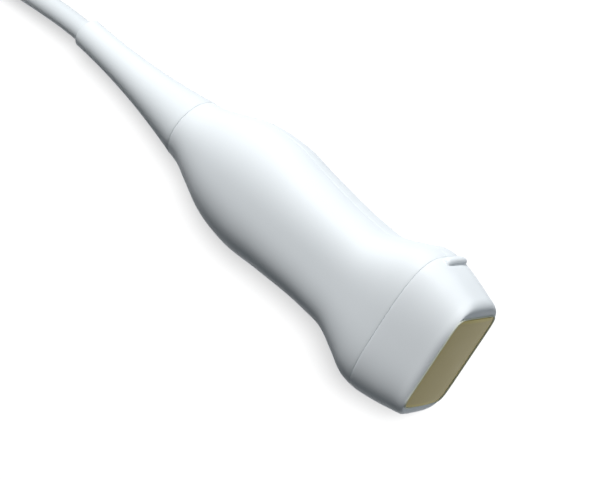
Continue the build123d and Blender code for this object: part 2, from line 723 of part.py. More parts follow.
def make_cord(route):
    """A round cable along straight runs joined by arcs as large as the runs allow."""
    points = [Vector(*point) for point in route]
    radii = []
    for before, corner, after in zip(points, points[1:], points[2:]):
        arrive = corner - before
        leave = after - corner
        turn = math.radians(arrive.get_angle(leave))
        radii.append(ROUTE_SHARE * min(arrive.length, leave.length) / math.tan(turn / 2))
    path = FilletPolyline(*points, radius=radii)
    start = Plane(points[0], z_dir=points[1] - points[0])
    cord = sweep(start * Circle(CABLE_RADIUS), path=path)
    expected = math.pi * CABLE_RADIUS ** 2 * path.length
    print("cord radii", [round(radius, 1) for radius in radii], "length", round(path.length, 1),
          "volume share", round(cord.volume / expected, 4))
    return cord


def make_hank():
    """Outer shape of the folded cable, with the last fold lying on the near end."""
    place = Pos(HANK_MIDDLE_X, HANK_OFFSET_Y, HANK_BOTTOM)
    ring = SlotCenterToCenter(HANK_STRAIGHT, HANK_WIDTH) - SlotCenterToCenter(HANK_STRAIGHT, HANK_INNER)
    stack = extrude(ring, HANK_LAYERS * CABLE_DIAMETER)
    hank = place * fillet(stack.faces().filter_by(Axis.Z).edges(), TIE_CORNER)
    outer = HANK_WIDTH / 2
    fold = Circle(outer) - Circle(outer - CABLE_DIAMETER)
    fold = fold & Pos(outer / 2, 0) * Rectangle(outer, 2 * outer)
    return hank + Pos(HANK_FOLD_X, HANK_OFFSET_Y, HANK_TOP) * extrude(fold, CABLE_DIAMETER)


def make_tie():
    """Strap around the hank's two runs."""
    x = HANK_NEAR_X - TIE_PLACE
    half_inner = HANK_WIDTH / 2
    half_outer = half_inner + TIE_THICKNESS
    height = HANK_TOP - HANK_BOTTOM
    loop = panel(
        (x - TIE_WIDTH / 2, x + TIE_WIDTH / 2),
        2 * half_outer, height + 2 * TIE_THICKNESS, TIE_CORNER + TIE_THICKNESS,
    )
    loop -= panel((x - TIE_WIDTH, x + TIE_WIDTH), 2 * half_inner, height, TIE_CORNER)
    return Pos(0, HANK_OFFSET_Y, (HANK_TOP + HANK_BOTTOM) / 2) * loop


def connector_case(inset, base, top):
    """A round-cornered case shape, inset from the connector's outer size."""
    plan = RectangleRounded(
        CONNECTOR_LENGTH - 2 * inset, CONNECTOR_WIDTH - 2 * inset, CONNECTOR_CORNER - inset
    )
    return Pos(CONNECTOR_X, CONNECTOR_Y, base) * extrude(plan, top - base)


def post_places():
    """X and Y of the connector's screw posts."""
    dx = CONNECTOR_LENGTH / 2 - POST_INSET
    dy = CONNECTOR_WIDTH / 2 - POST_INSET
    return [(CONNECTOR_X + sx * dx, CONNECTOR_Y + sy * dy) for sx in (-1, 1) for sy in (-1, 1)]


def contact_plate(x, grow):
    """A rectangular plug shape on the connector's split plane."""
    half_width = CONTACT_WIDTH / 2 + grow
    half_height = CONTACT_HEIGHT / 2 + grow
    return block(
        x,
        (CONNECTOR_Y - half_width, CONNECTOR_Y + half_width),
        (CONNECTOR_SPLIT - half_height, CONNECTOR_SPLIT + half_height),
    )


def make_grip_grooves():
    """Rows of upright finger grooves along both sides of the connector's case."""
    grooves = Part()
    half = GRIP_GROOVE_WIDTH / 2
    side = CONNECTOR_WIDTH / 2
    z = (CONNECTOR_BASE + GRIP_GROOVE_MARGIN, CONNECTOR_TOP - GRIP_GROOVE_MARGIN)
    for number in range(GRIP_GROOVES):
        x = CONNECTOR_X + (number - (GRIP_GROOVES - 1) / 2) * GRIP_GROOVE_PITCH
        for y in (CONNECTOR_Y - side, CONNECTOR_Y + side):
            grooves += block((x - half, x + half), (y - GRIP_GROOVE_DEPTH, y + GRIP_GROOVE_DEPTH), z)
    return grooves


def make_connector_shells():
    """Lower and upper halves of the connector's case."""
    case = connector_case(0, CONNECTOR_BASE, CONNECTOR_TOP)
    ends = case.faces().filter_by(Axis.Z)
    case = fillet(ends.edges(), CONNECTOR_EDGE)
    case -= make_grip_grooves()
    hollow = connector_case(CONNECTOR_WALL, CONNECTOR_BASE + CONNECTOR_WALL, CONNECTOR_TOP - CONNECTOR_WALL)
    case -= hollow
    front_wall = (CONNECTOR_FRONT_X - WALL, CONNECTOR_FRONT_X + CONNECTOR_WALL + WALL)
    case -= contact_plate(front_wall, SEAT_GAP)
    entry_y = CONNECTOR_Y + ENTRY_OFFSET_Y
    entry_z = CONNECTOR_BASE + ENTRY_HEIGHT
    rear_wall = (CONNECTOR_REAR_X - CONNECTOR_WALL - WALL, CONNECTOR_REAR_X + WALL)
    case -= rod(rear_wall, CABLE_DIAMETER + 2 * SEAT_GAP, entry_y, entry_z)
    shaft_hole = LOCK_SHAFT_DIAMETER + 2 * LOCK_GAP
    shaft = pillar((CONNECTOR_SPLIT, CONNECTOR_TOP + WALL), shaft_hole, CONNECTOR_X, CONNECTOR_Y)
    ceiling = CONNECTOR_TOP - CONNECTOR_WALL
    boss = pillar((ceiling - LOCK_BOSS_DROP, ceiling), LOCK_BOSS_DIAMETER, CONNECTOR_X, CONNECTOR_Y)
    seat = (CONNECTOR_BASE, CONNECTOR_BASE + SCREW_HEAD_HEIGHT)
    posts = Part()
    holes = Part()
    for x, y in post_places():
        posts += pillar((CONNECTOR_BASE + CONNECTOR_WALL, ceiling), POST_DIAMETER, x, y)
        holes += pillar((CONNECTOR_BASE - WALL, seat[1]), 2 * (SCREW_HEAD + SCREW_GAP), x, y)
        reach = CONNECTOR_BASE + CONNECTOR_SCREW_REACH + SEAT_GAP
        holes += pillar((CONNECTOR_BASE - WALL, reach), 2 * (SCREW_SHANK + SCREW_GAP), x, y)
    case = case + posts + boss - shaft - holes
    middle = Plane.XY.offset(CONNECTOR_SPLIT)
    return split(case, middle, keep=Keep.BOTTOM), split(case, middle, keep=Keep.TOP)


def make_contact_block():
    """Plug body that enters the system's port, with a flange behind the case's wall."""
    inner = CONNECTOR_FRONT_X + CONNECTOR_WALL + SEAT_GAP
    plug = contact_plate((CONNECTOR_FRONT_X - CONTACT_REACH, inner), 0)
    plug = chamfer(plug.faces().sort_by(Axis.X)[0].edges(), CONTACT_LEAD_IN)
    return plug + contact_plate((inner, inner + CONTACT_FLANGE_DEPTH), CONTACT_FLANGE)


def make_contact_pins():
    """Rows of contact pins on the plug's face."""
    face = CONNECTOR_FRONT_X - CONTACT_REACH
    pins = []
    for row in range(PIN_ROWS):
        for column in range(PIN_COLUMNS):
            y = CONNECTOR_Y + (column - (PIN_COLUMNS - 1) / 2) * PIN_PITCH
            z = CONNECTOR_SPLIT + (row - (PIN_ROWS - 1) / 2) * PIN_PITCH
            pins.append(rod((face - PIN_LENGTH, face), PIN_DIAMETER, y, z))
    return Compound(children=pins)


def make_connector_board():
    """Board behind the plug, resting on the case's split plane between the posts."""
    front = CONNECTOR_FRONT_X + CONNECTOR_WALL + 2 * SEAT_GAP + CONTACT_FLANGE_DEPTH
    back = CONNECTOR_REAR_X - CONNECTOR_WALL - POST_DIAMETER
    half_width = CONNECTOR_WIDTH / 2 - POST_INSET
    half_board = BOARD_THICKNESS / 2
    board = block(
        (front, back),
        (CONNECTOR_Y - half_width, CONNECTOR_Y + half_width),
        (CONNECTOR_SPLIT - half_board, CONNECTOR_SPLIT + half_board),
    )
    for x, y in post_places():
        board -= pillar((CONNECTOR_BASE, CONNECTOR_TOP), POST_DIAMETER + 2 * SEAT_GAP, x, y)
    return board


def make_lock():
    """Rotary lock: a shaft with a cam inside the case, and the lever on top."""
    cam_top = CONNECTOR_TOP - CONNECTOR_WALL - LOCK_BOSS_DROP - LOCK_GAP
    knob_base = CONNECTOR_TOP + LOCK_GAP
    knob_top = knob_base + LOCK_KNOB_DEPTH
    shaft = pillar((cam_top, knob_base), LOCK_SHAFT_DIAMETER, CONNECTOR_X, CONNECTOR_Y)
    shaft += pillar((cam_top - LOCK_CAM_DEPTH, cam_top), LOCK_CAM_DIAMETER, CONNECTOR_X, CONNECTOR_Y)
    knob = pillar((knob_base, knob_top), LOCK_KNOB_DIAMETER, CONNECTOR_X, CONNECTOR_Y)
    knob = fillet(knob.faces().sort_by(Axis.Z)[-1].edges(), LOCK_KNOB_ROUND)
    grip = extrude(SlotOverall(LOCK_GRIP_LENGTH, LOCK_GRIP_WIDTH), LOCK_GRIP_HEIGHT)
    grip = fillet(grip.faces().sort_by(Axis.Z)[-1].edges(), LOCK_GRIP_ROUND)
    lever = knob + Pos(CONNECTOR_X, CONNECTOR_Y, knob_top) * grip
    return shaft, lever


def make_connector_boot():
    """Tapered sleeve with bend ribs where the cable enters the connector."""
    tip = CONNECTOR_REAR_X + CONNECTOR_BOOT_LENGTH
    bore = CABLE_RADIUS + BORE_GAP
    half_pitch = CONNECTOR_BOOT_LENGTH / (2 * CONNECTOR_BOOT_RIBS - 1)
    taper = (CONNECTOR_BOOT_BASE - CONNECTOR_BOOT_TIP) / 2 / CONNECTOR_BOOT_LENGTH
    ribs = []
    for rib in range(CONNECTOR_BOOT_RIBS):
        start = 2 * rib * half_pitch
        for along in (start, start + half_pitch):
            ribs.append((CONNECTOR_REAR_X + along, CONNECTOR_BOOT_BASE / 2 - taper * along))
        if rib < CONNECTOR_BOOT_RIBS - 1:
            floor = ribs[-1][1] - CONNECTOR_BOOT_GROOVE
            ribs += [(ribs[-1][0], floor), (ribs[-1][0] + half_pitch, floor)]
    outline = make_face(Polyline((CONNECTOR_REAR_X, bore), *ribs, (tip, bore), close=True))
    entry = Pos(0, CONNECTOR_Y + ENTRY_OFFSET_Y, CONNECTOR_BASE + ENTRY_HEIGHT)
    return entry * revolve(outline, Axis.X)


def make_connector_screws():
    """Case screws, driven from below into the upper posts."""
    seat = CONNECTOR_BASE + SCREW_HEAD_HEIGHT
    screws = []
    for x, y in post_places():
        head = pillar((CONNECTOR_BASE, seat), 2 * SCREW_HEAD, x, y)
        screws.append(head + pillar((seat, CONNECTOR_BASE + CONNECTOR_SCREW_REACH), 2 * SCREW_SHANK, x, y))
    return Compound(children=screws)


def make_probe():
    """Every piece of the probe by node name, about the probe's axis."""
    pieces = {}
    pieces["handle_upper_shell"], pieces["handle_lower_shell"] = make_handle()
    pieces["nose_shell"] = make_nose()
    pieces["nose_gasket"] = make_gasket()
    pieces["acoustic_lens"] = make_lens()
    pieces["lens_seal"] = make_lens_seal()
    pieces["outer_matching_layer"] = stack_layer(STACK_FRONT_X - MATCHING_DEPTH, MATCHING_DEPTH)
    pieces["inner_matching_layer"] = stack_layer(STACK_FRONT_X - 2 * MATCHING_DEPTH, MATCHING_DEPTH)
    pieces["piezo_array"] = make_piezo()
    pieces["backing_block"] = stack_layer(BACKING_BACK_X, BACKING_DEPTH)
    pieces["flex_circuit_upper"] = make_flex()
    pieces["flex_circuit_lower"] = mirrored(make_flex())
    pieces["array_carrier"] = make_carrier()
    pieces["carrier_screws"] = make_carrier_screws()
    pieces["chassis"] = make_chassis()
    pieces["tuning_board_upper"] = make_board()
    pieces["tuning_board_lower"] = mirrored(make_board())
    pieces["board_screws"] = make_board_screws()
    pieces["flex_header_upper"] = make_flex_header()
    pieces["flex_header_lower"] = mirrored(make_flex_header())
    pieces["coax_headers"] = make_coax_headers()
    pieces["tuning_inductors"] = make_inductors()
    pieces["coax_harness"] = make_harness()
    pieces["cable_clamp_upper"] = make_clamp()
    pieces["cable_clamp_lower"] = mirrored(make_clamp())
    pieces["clamp_screws"] = make_clamp_screws()
    pieces["strain_relief_boot"] = make_boot()
    return pieces


def make_cable():
    """The cable's pieces and the connector by node name, about the probe's axis."""
    pieces = {}
    pieces["cable_inner_run"] = rod((CABLE_STEP_IN - BOOT_LENGTH, CLAMP_START + CLAMP_LENGTH), CABLE_DIAMETER)
    pieces["cable"] = make_cord(ROUTE)
    pieces["cable_hank"] = make_hank()
    pieces["cable_tie"] = make_tie()
    pieces["connector_lead"] = make_cord(LEAD_ROUTE)
    pieces["connector_lower_shell"], pieces["connector_upper_shell"] = make_connector_shells()
    pieces["contact_block"] = make_contact_block()
    pieces["contact_pins"] = make_contact_pins()
    pieces["connector_board"] = make_connector_board()
    pieces["lock_shaft"], pieces["lock_lever"] = make_lock()
    pieces["connector_boot"] = make_connector_boot()
    pieces["connector_screws"] = make_connector_screws()
    return pieces


os.makedirs("parts", exist_ok=True)
at_rest = Pos(-MIDDLE_X, 0, AXIS_HEIGHT)
for node, piece in {**make_probe(), **make_cable()}.items():
    export_step(at_rest * piece, os.path.join("parts", node + ".step"))
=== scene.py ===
"""Dresses a phased-array ultrasound probe with its cable and connector, and lights it as in the photograph.

Sizes are millimetres about the probe's axis: x is 0 at the joint of boot and handle and grows towards the
lens, y grows towards the orientation ridge, and z is 0 on the axis. Frame.point turns them into metres in
the row's frame.
"""

import json
import logging
import math
from dataclasses import dataclass, field
from enum import Enum
from typing import Iterable, Sequence, Union

import bmesh
import bpy
from mathutils import Matrix, Vector


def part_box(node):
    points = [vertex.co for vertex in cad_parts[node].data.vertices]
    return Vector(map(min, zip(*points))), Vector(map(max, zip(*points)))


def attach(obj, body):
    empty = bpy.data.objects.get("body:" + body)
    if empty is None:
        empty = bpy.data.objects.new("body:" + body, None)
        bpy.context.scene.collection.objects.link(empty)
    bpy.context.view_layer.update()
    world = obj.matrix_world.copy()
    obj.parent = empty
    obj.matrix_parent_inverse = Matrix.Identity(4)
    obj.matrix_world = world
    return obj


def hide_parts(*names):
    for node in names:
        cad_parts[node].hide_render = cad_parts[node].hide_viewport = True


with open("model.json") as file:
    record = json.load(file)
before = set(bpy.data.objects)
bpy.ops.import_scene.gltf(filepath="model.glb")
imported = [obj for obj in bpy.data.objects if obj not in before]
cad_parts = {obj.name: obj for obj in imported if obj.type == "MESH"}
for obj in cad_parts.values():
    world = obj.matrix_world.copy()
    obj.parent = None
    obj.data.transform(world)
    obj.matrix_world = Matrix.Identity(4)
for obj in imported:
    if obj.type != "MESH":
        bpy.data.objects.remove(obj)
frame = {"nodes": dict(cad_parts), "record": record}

MM = 0.001
WELD = 0.001 * MM
HAIR = 0.01 * MM
CUT = 0.0001 * MM
SMOOTH_ANGLE = 38.0
ROUND_ANGLE = 50.0
CAD_ROUND_ANGLE = 40.0
CAD_FLAT_ANGLE = 0.5
LOG = logging.getLogger("probe")

Colour = tuple[float, float, float]
Point = tuple[float, float, float]
Span = tuple[float, float]
Value = Union[bpy.types.NodeSocket, float]

UNIT: Span = (0.0, 1.0)
WHITE: Colour = (1.0, 1.0, 1.0)


class Body(Enum):
    """The bodies that pieces ride on."""

    PROBE = "probe"
    LOCK = "lock"


class Side(Enum):
    """Which half of the handle a shell is."""

    UPPER = 1
    LOWER = -1


class Frame:
    """Where the probe's axis lies in the row's frame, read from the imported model."""

    def __init__(self) -> None:
        """Reads the joint of boot and handle, and the height of the axis."""
        low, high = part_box("strain_relief_boot")
        self.joint_x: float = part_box("handle_upper_shell")[0].x / MM
        self.axis_z: float = (low.z + high.z) / 2 / MM

    def point(self, x: float, y: float, z: float) -> Vector:
        """The place in the row's frame, in metres, of a point about the axis in millimetres."""
        return Vector((x + self.joint_x, y, z + self.axis_z)) * MM


FRAME = Frame()


@dataclass(frozen=True)
class Ring:
    """One cross-section of a lofted skin: a squared-off oval across the axis.

    Squareness 2 is an ellipse and larger values are squarer. Crown bows the ring towards +X where it is
    nearest to the middle plane, over the height given by crown_up.
    """

    x: float
    across: float
    up: float
    squareness: float = 2.0
    middle_y: float = 0.0
    middle_z: float = 0.0
    crown: float = 0.0
    crown_up: float = 1.0

    def at(self, angle: float) -> Vector:
        """The ring's point at an angle, in the row's frame.

        Args:
            angle: Radians from +Y towards +Z, before the oval is squared off.

        Returns:
            The point in metres.
        """
        across = math.cos(angle)
        up = math.sin(angle)
        power = self.squareness
        reach = (abs(across) ** power + abs(up) ** power) ** (-1 / power)
        height = self.up * up * reach
        bow = self.crown * (1 - (height / self.crown_up) ** 2)
        return FRAME.point(self.x + bow, self.middle_y + self.across * across * reach, self.middle_z + height)

    def angle_of(self, place: Vector) -> float:
        """The angle that at() was given for a point on this ring."""
        middle = FRAME.point(0, self.middle_y, self.middle_z)
        return math.atan2((place.z - middle.z) / self.up, (place.y - middle.y) / self.across)


def ring_loft(rings: Sequence[Ring], segments: int, closed: bool = False) -> bmesh.types.BMesh:
    """Extrudes a circle of edges from ring to ring.

    Args:
        rings: The cross-sections in order.
        segments: Edges round each ring.
        closed: True to bridge the last ring back to the first.

    Returns:
        The skin, open at both ends unless it is closed.
    """
    mesh = bmesh.new()
    bmesh.ops.create_circle(mesh, cap_ends=False, radius=1.0, segments=segments)
    first = list(mesh.edges)
    loop = first
    for vert in mesh.verts:
        vert.co = rings[0].at(math.atan2(vert.co.y, vert.co.x))
    for before, ring in zip(rings, rings[1:]):
        made = bmesh.ops.extrude_edge_only(mesh, edges=loop)["geom"]
        verts = {item for item in made if isinstance(item, bmesh.types.BMVert)}
        edges = {edge for vert in verts for edge in vert.link_edges}
        loop = [edge for edge in edges if set(edge.verts) <= verts]
        for vert in verts:
            vert.co = ring.at(before.angle_of(vert.co))
    if closed:
        bmesh.ops.bridge_loops(mesh, edges=first + loop)
    bmesh.ops.recalc_face_normals(mesh, faces=list(mesh.faces))
    return mesh


def spun(
    profile: Sequence[Span], segments: int, middle_y: float = 0.0, middle_z: float = 0.0
) -> bmesh.types.BMesh:
    """Spins a closed outline round an axis along X.

    Args:
        profile: The outline as (x, radius) pairs.
        segments: Steps in the full turn.
        middle_y: The axis's place across the probe.
        middle_z: The axis's place above the probe's own axis.

    Returns:
        The turned solid.
    """
    mesh = bmesh.new()
    verts = [mesh.verts.new(FRAME.point(x, middle_y, middle_z + radius)) for x, radius in profile]
    edges = [mesh.edges.new(pair) for pair in zip(verts, verts[1:] + verts[:1])]
    bmesh.ops.spin(
        mesh, geom=verts + edges, cent=FRAME.point(0, middle_y, middle_z), axis=(1, 0, 0),
        angle=2 * math.pi, steps=segments, use_merge=True,
    )
    bmesh.ops.remove_doubles(mesh, verts=list(mesh.verts), dist=WELD)
    bmesh.ops.recalc_face_normals(mesh, faces=list(mesh.faces))
    return mesh


def block(x: Span, y: Span, z: Span) -> bmesh.types.BMesh:
    """A box.

    Args:
        x: Its low and high ends along X.
        y: Its low and high ends along Y.
        z: Its low and high ends along Z.

    Returns:
        The box.
    """
    mesh = bmesh.new()
    bmesh.ops.create_cube(mesh, size=1.0)
    low = FRAME.point(x[0], y[0], z[0])
    high = FRAME.point(x[1], y[1], z[1])
    bmesh.ops.scale(mesh, vec=high - low, verts=list(mesh.verts))
    bmesh.ops.translate(mesh, vec=(low + high) / 2, verts=list(mesh.verts))
    return mesh


def pillar(z: Span, radius: float, x: float, y: float, segments: int) -> bmesh.types.BMesh:
    """A round bar along Z.

    Args:
        z: Its low and high ends.
        radius: Its radius.
        x: Its axis's place along the probe.
        y: Its axis's place across the probe.
        segments: Faces round it.

    Returns:
        The bar.
    """
    mesh = bmesh.new()
    depth = (z[1] - z[0]) * MM
    bmesh.ops.create_cone(
        mesh, cap_ends=True, segments=segments, radius1=radius * MM, radius2=radius * MM, depth=depth
    )
    bmesh.ops.translate(mesh, vec=FRAME.point(x, y, (z[0] + z[1]) / 2), verts=list(mesh.verts))
    return mesh


def soften(
    mesh: bmesh.types.BMesh, edges: Iterable[bmesh.types.BMEdge], radius: float, segments: int = 2
) -> None:
    """Rounds some of a mesh's edges.

    Args:
        mesh: The mesh to change.
        edges: The edges to round.
        radius: How far the round reaches, in millimetres.
        segments: Faces across the round.
    """
    bmesh.ops.bevel(
        mesh, geom=list(edges), offset=radius * MM, offset_type="OFFSET", segments=segments, profile=0.5,
        affect="EDGES", material=-1, clamp_overlap=True,
    )


def sharp_edges(mesh: bmesh.types.BMesh, angle: float = ROUND_ANGLE) -> list[bmesh.types.BMEdge]:
    """The edges whose faces meet at more than an angle in degrees."""
    limit = math.radians(angle)
    return [edge for edge in mesh.edges if len(edge.link_faces) == 2 and edge.calc_face_angle(0.0) > limit]


def edges_along(mesh: bmesh.types.BMesh, axis: int) -> list[bmesh.types.BMEdge]:
    """The edges of a box that run along an axis: 0 for X, 1 for Y, 2 for Z."""
    return [edge for edge in mesh.edges if abs((edge.verts[0].co - edge.verts[1].co)[axis]) > HAIR]


def close_ends(mesh: bmesh.types.BMesh) -> None:
    """Fills a mesh's open ends and turns its faces outwards."""
    bmesh.ops.holes_fill(mesh, edges=[edge for edge in mesh.edges if edge.is_boundary], sides=0)
    bmesh.ops.recalc_face_normals(mesh, faces=list(mesh.faces))


def as_data(mesh: bmesh.types.BMesh, name: str) -> bpy.types.Mesh:
    """Makes mesh data of a mesh.

    Args:
        mesh: The mesh, which is freed.
        name: The data's name.

    Returns:
        The data.
    """
    data = bpy.data.meshes.new(name)
    mesh.to_mesh(data)
    mesh.free()
    return data


def new_object(name: str, data: bpy.types.ID) -> bpy.types.Object:
    """Puts an object in the scene.

    Args:
        name: The object's name.
        data: What it shows.

    Returns:
        The object.
    """
    item = bpy.data.objects.new(name, data)
    bpy.context.scene.collection.objects.link(item)
    return item


def joined(meshes: Sequence[bmesh.types.BMesh]) -> bmesh.types.BMesh:
    """One mesh that holds several, which are freed.

    Args:
        meshes: The meshes to put together.

    Returns:
        The first mesh, with the others in it.
    """
    whole = meshes[0]
    for mesh in meshes[1:]:
        carrier = as_data(mesh, "carrier")
        whole.from_mesh(carrier)
        bpy.data.meshes.remove(carrier)
    return whole


class NodeSheet:
    """A short way to add and link nodes in one node tree."""

    def __init__(self, tree: bpy.types.NodeTree) -> None:
        """Keeps the tree."""
        self.tree = tree

    def add(self, kind: str, **settings: object) -> bpy.types.Node:
        """Adds a node.

        Args:
            kind: The node's type name.
            settings: Properties to set on the node.

        Returns:
            The new node.
        """
        node = self.tree.nodes.new(kind)
        for name, value in settings.items():
            setattr(node, name, value)
        return node

    def link(self, source: bpy.types.NodeSocket, target: bpy.types.NodeSocket) -> None:
        """Links two sockets."""
        self.tree.links.new(source, target)

    def math(self, operation: str, first: Value, second: Value = 0.0) -> bpy.types.NodeSocket:
        """A Math node on sockets or numbers.

        Args:
            operation: The Math node's operation.
            first: A socket or a number.
            second: A socket or a number.

        Returns:
            The result's socket.
        """
        node = self.add("ShaderNodeMath", operation=operation)
        for socket, value in zip(node.inputs, (first, second)):
            if isinstance(value, bpy.types.NodeSocket):
                self.link(value, socket)
            else:
                socket.default_value = value
        return node.outputs[0]

    def remap(self, value: bpy.types.NodeSocket, source: Span, target: Span) -> bpy.types.NodeSocket:
        """Maps a value from one range to another, held at the ends.

        Args:
            value: The socket to map.
            source: The range that comes in.
            target: The range that goes out.

        Returns:
            The mapped socket.
        """
        node = self.add("ShaderNodeMapRange")
        self.link(value, node.inputs["Value"])
        node.inputs["From Min"].default_value, node.inputs["From Max"].default_value = source
        node.inputs["To Min"].default_value, node.inputs["To Max"].default_value = target
        return node.outputs["Result"]

    def mix(self, share: bpy.types.NodeSocket, low: Colour, high: Colour) -> bpy.types.NodeSocket:
        """Mixes two colours by a mask.

        Args:
            share: The mask, 0 to 1.
            low: The colour where the mask is 0.
            high: The colour where the mask is 1.

        Returns:
            The colour's socket.
        """
        node = self.add("ShaderNodeMix", data_type="RGBA")
        self.link(share, node.inputs["Factor"])
        node.inputs["A"].default_value = (*low, 1.0)
        node.inputs["B"].default_value = (*high, 1.0)
        return next(socket for socket in node.outputs if socket.type == "RGBA")

    def bump(self, height: bpy.types.NodeSocket, distance: float, shader: bpy.types.Node) -> None:
        """Bends a shader's normal by a height.

        Args:
            height: The height, 0 to 1.
            distance: What a height of 1 stands for, in metres.
            shader: The shader to bend.
        """
        node = self.add("ShaderNodeBump")
        node.inputs["Distance"].default_value = distance
        self.link(height, node.inputs["Height"])
        self.link(node.outputs["Normal"], shader.inputs["Normal"])


def blank_sheet(owner: Union[bpy.types.Material, bpy.types.World]) -> NodeSheet:
    """Empties the nodes of a material or a world.

    Args:
        owner: The material or the world.

    Returns:
        A sheet to fill its nodes with.
    """
    owner.use_nodes = True
    owner.node_tree.nodes.clear()
    return NodeSheet(owner.node_tree)


class SurfaceGroups:
    """Shader node groups that several finishes share, each built once."""

    FINE_DETAIL: float = 2.0
    SLOW_DETAIL: float = 3.0
    MARK_SCALE: float = 70.0
    MARK_DETAIL: float = 6.0
    MARK_DISTORTION: float = 1.2
    MARK_RANGE: Span = (0.52, 0.72)
    THREAD_RANGE: Span = (0.1, 0.9)

    def __init__(self) -> None:
        """Builds every group."""
        self.grain = self._grain()
        self.weave = self._weave()

    @staticmethod
    def _new(
        name: str, inputs: Sequence[str], outputs: Sequence[str]
    ) -> tuple[bpy.types.NodeTree, NodeSheet]:
        """An empty group with float sockets.

        Args:
            name: The group's name.
            inputs: Names of its inputs.
            outputs: Names of its outputs.

        Returns:
            The group and a sheet to fill it with.
        """
        group = bpy.data.node_groups.new(name, "ShaderNodeTree")
        for title in inputs:
            group.interface.new_socket(title, in_out="INPUT", socket_type="NodeSocketFloat")
        for title in outputs:
            group.interface.new_socket(title, in_out="OUTPUT", socket_type="NodeSocketFloat")
        return group, NodeSheet(group)

    def _grain(self) -> bpy.types.NodeTree:
        """Fine mould texture, slow mottling and faint handling marks, on Object coordinates.

        Returns:
            The group.
        """
        group, sheet = self._new(
            "moulded_grain", ("Grain Scale", "Mottle Scale"), ("Grain", "Mottle", "Handling")
        )
        source = sheet.add("NodeGroupInput")
        result = sheet.add("NodeGroupOutput")
        place = sheet.add("ShaderNodeTexCoord").outputs["Object"]
        fine = sheet.add("ShaderNodeTexNoise")
        fine.inputs["Detail"].default_value = self.FINE_DETAIL
        slow = sheet.add("ShaderNodeTexNoise")
        slow.inputs["Detail"].default_value = self.SLOW_DETAIL
        marks = sheet.add("ShaderNodeTexNoise")
        marks.inputs["Scale"].default_value = self.MARK_SCALE
        marks.inputs["Detail"].default_value = self.MARK_DETAIL
        marks.inputs["Distortion"].default_value = self.MARK_DISTORTION
        for node in (fine, slow, marks):
            sheet.link(place, node.inputs["Vector"])
        sheet.link(source.outputs["Grain Scale"], fine.inputs["Scale"])
        sheet.link(source.outputs["Mottle Scale"], slow.inputs["Scale"])
        sheet.link(fine.outputs["Fac"], result.inputs["Grain"])
        sheet.link(slow.outputs["Fac"], result.inputs["Mottle"])
        sheet.link(sheet.remap(marks.outputs["Fac"], self.MARK_RANGE, UNIT), result.inputs["Handling"])
        return group

    def _weave(self) -> bpy.types.NodeTree:
        """Crossing threads of a woven strap, on Object coordinates.

        Returns:
            The group.
        """
        group, sheet = self._new("strap_weave", ("Thread Scale",), ("Height", "Shade"))
        source = sheet.add("NodeGroupInput")
        result = sheet.add("NodeGroupOutput")
        place = sheet.add("ShaderNodeTexCoord").outputs["Object"]
        parts = sheet.add("ShaderNodeSeparateXYZ")
        sheet.link(place, parts.inputs[0])
        along = sheet.math("ADD", parts.outputs["Y"], parts.outputs["Z"])
        waves = []
        for run in (parts.outputs["X"], along):
            turn = sheet.math("MULTIPLY", run, source.outputs["Thread Scale"])
            waves.append(sheet.math("SINE", turn))
        crossing = sheet.math("MULTIPLY", waves[0], waves[1])
        height = sheet.remap(crossing, (-1.0, 1.0), UNIT)
        sheet.link(height, result.inputs["Height"])
        sheet.link(sheet.remap(height, self.THREAD_RANGE, UNIT), result.inputs["Shade"])
        return group


GROUPS = SurfaceGroups()


@dataclass(frozen=True)
class Finish:
    """What a piece is made of. Its material is named after its slot."""

    slot: str

    @property
    def name(self) -> str:
        """The material's name."""
        return self.slot.replace("_", " ")

    def material(self) -> bpy.types.Material:
        """Builds the finish's material.

        Returns:
            The material.
        """
        material = bpy.data.materials.new(self.name)
        sheet = blank_sheet(material)
        shader = sheet.add("ShaderNodeBsdfPrincipled")
        output = sheet.add("ShaderNodeOutputMaterial")
        sheet.link(shader.outputs["BSDF"], output.inputs["Surface"])
        self.fill(sheet, shader)
        return material

    def fill(self, sheet: NodeSheet, shader: bpy.types.Node) -> None:
        """Adds what makes this finish to an empty Principled shader.

        Args:
            sheet: Where nodes are added.
            shader: The shader.
        """
        raise NotImplementedError


class MouldGrain(Enum):
    """How coarse a moulded surface's texture is: grain scale, and bump distance in metres."""

    SATIN = (2600.0, 0.000006)
    FINE = (1500.0, 0.00002)
    RUBBED = (900.0, 0.000012)


@dataclass(frozen=True)
class Moulded(Finish):
    """A moulded plastic, rubber or resin: a colour with slow mottling, and a fine mould texture."""

    colour: Colour
    shade: Colour
    roughness: Span
    grain: MouldGrain = MouldGrain.SATIN
    mottle_scale: float = 60.0
    specular: float = 0.05
    metallic: float = 0.0

    def fill(self, sheet: NodeSheet, shader: bpy.types.Node) -> None:
        """Adds the mottled colour, the roughness and the mould texture.

        Args:
            sheet: Where nodes are added.
            shader: The shader.
        """
        scale, depth = self.grain.value
        group = sheet.add("ShaderNodeGroup", node_tree=GROUPS.grain)
        group.inputs["Grain Scale"].default_value = scale
        group.inputs["Mottle Scale"].default_value = self.mottle_scale
        sheet.link(sheet.mix(group.outputs["Mottle"], self.shade, self.colour), shader.inputs["Base Color"])
        sheet.link(sheet.remap(group.outputs["Handling"], UNIT, self.roughness), shader.inputs["Roughness"])
        sheet.bump(group.outputs["Grain"], depth, shader)
        shader.inputs["Specular IOR Level"].default_value = self.specular
        shader.inputs["Metallic"].default_value = self.metallic


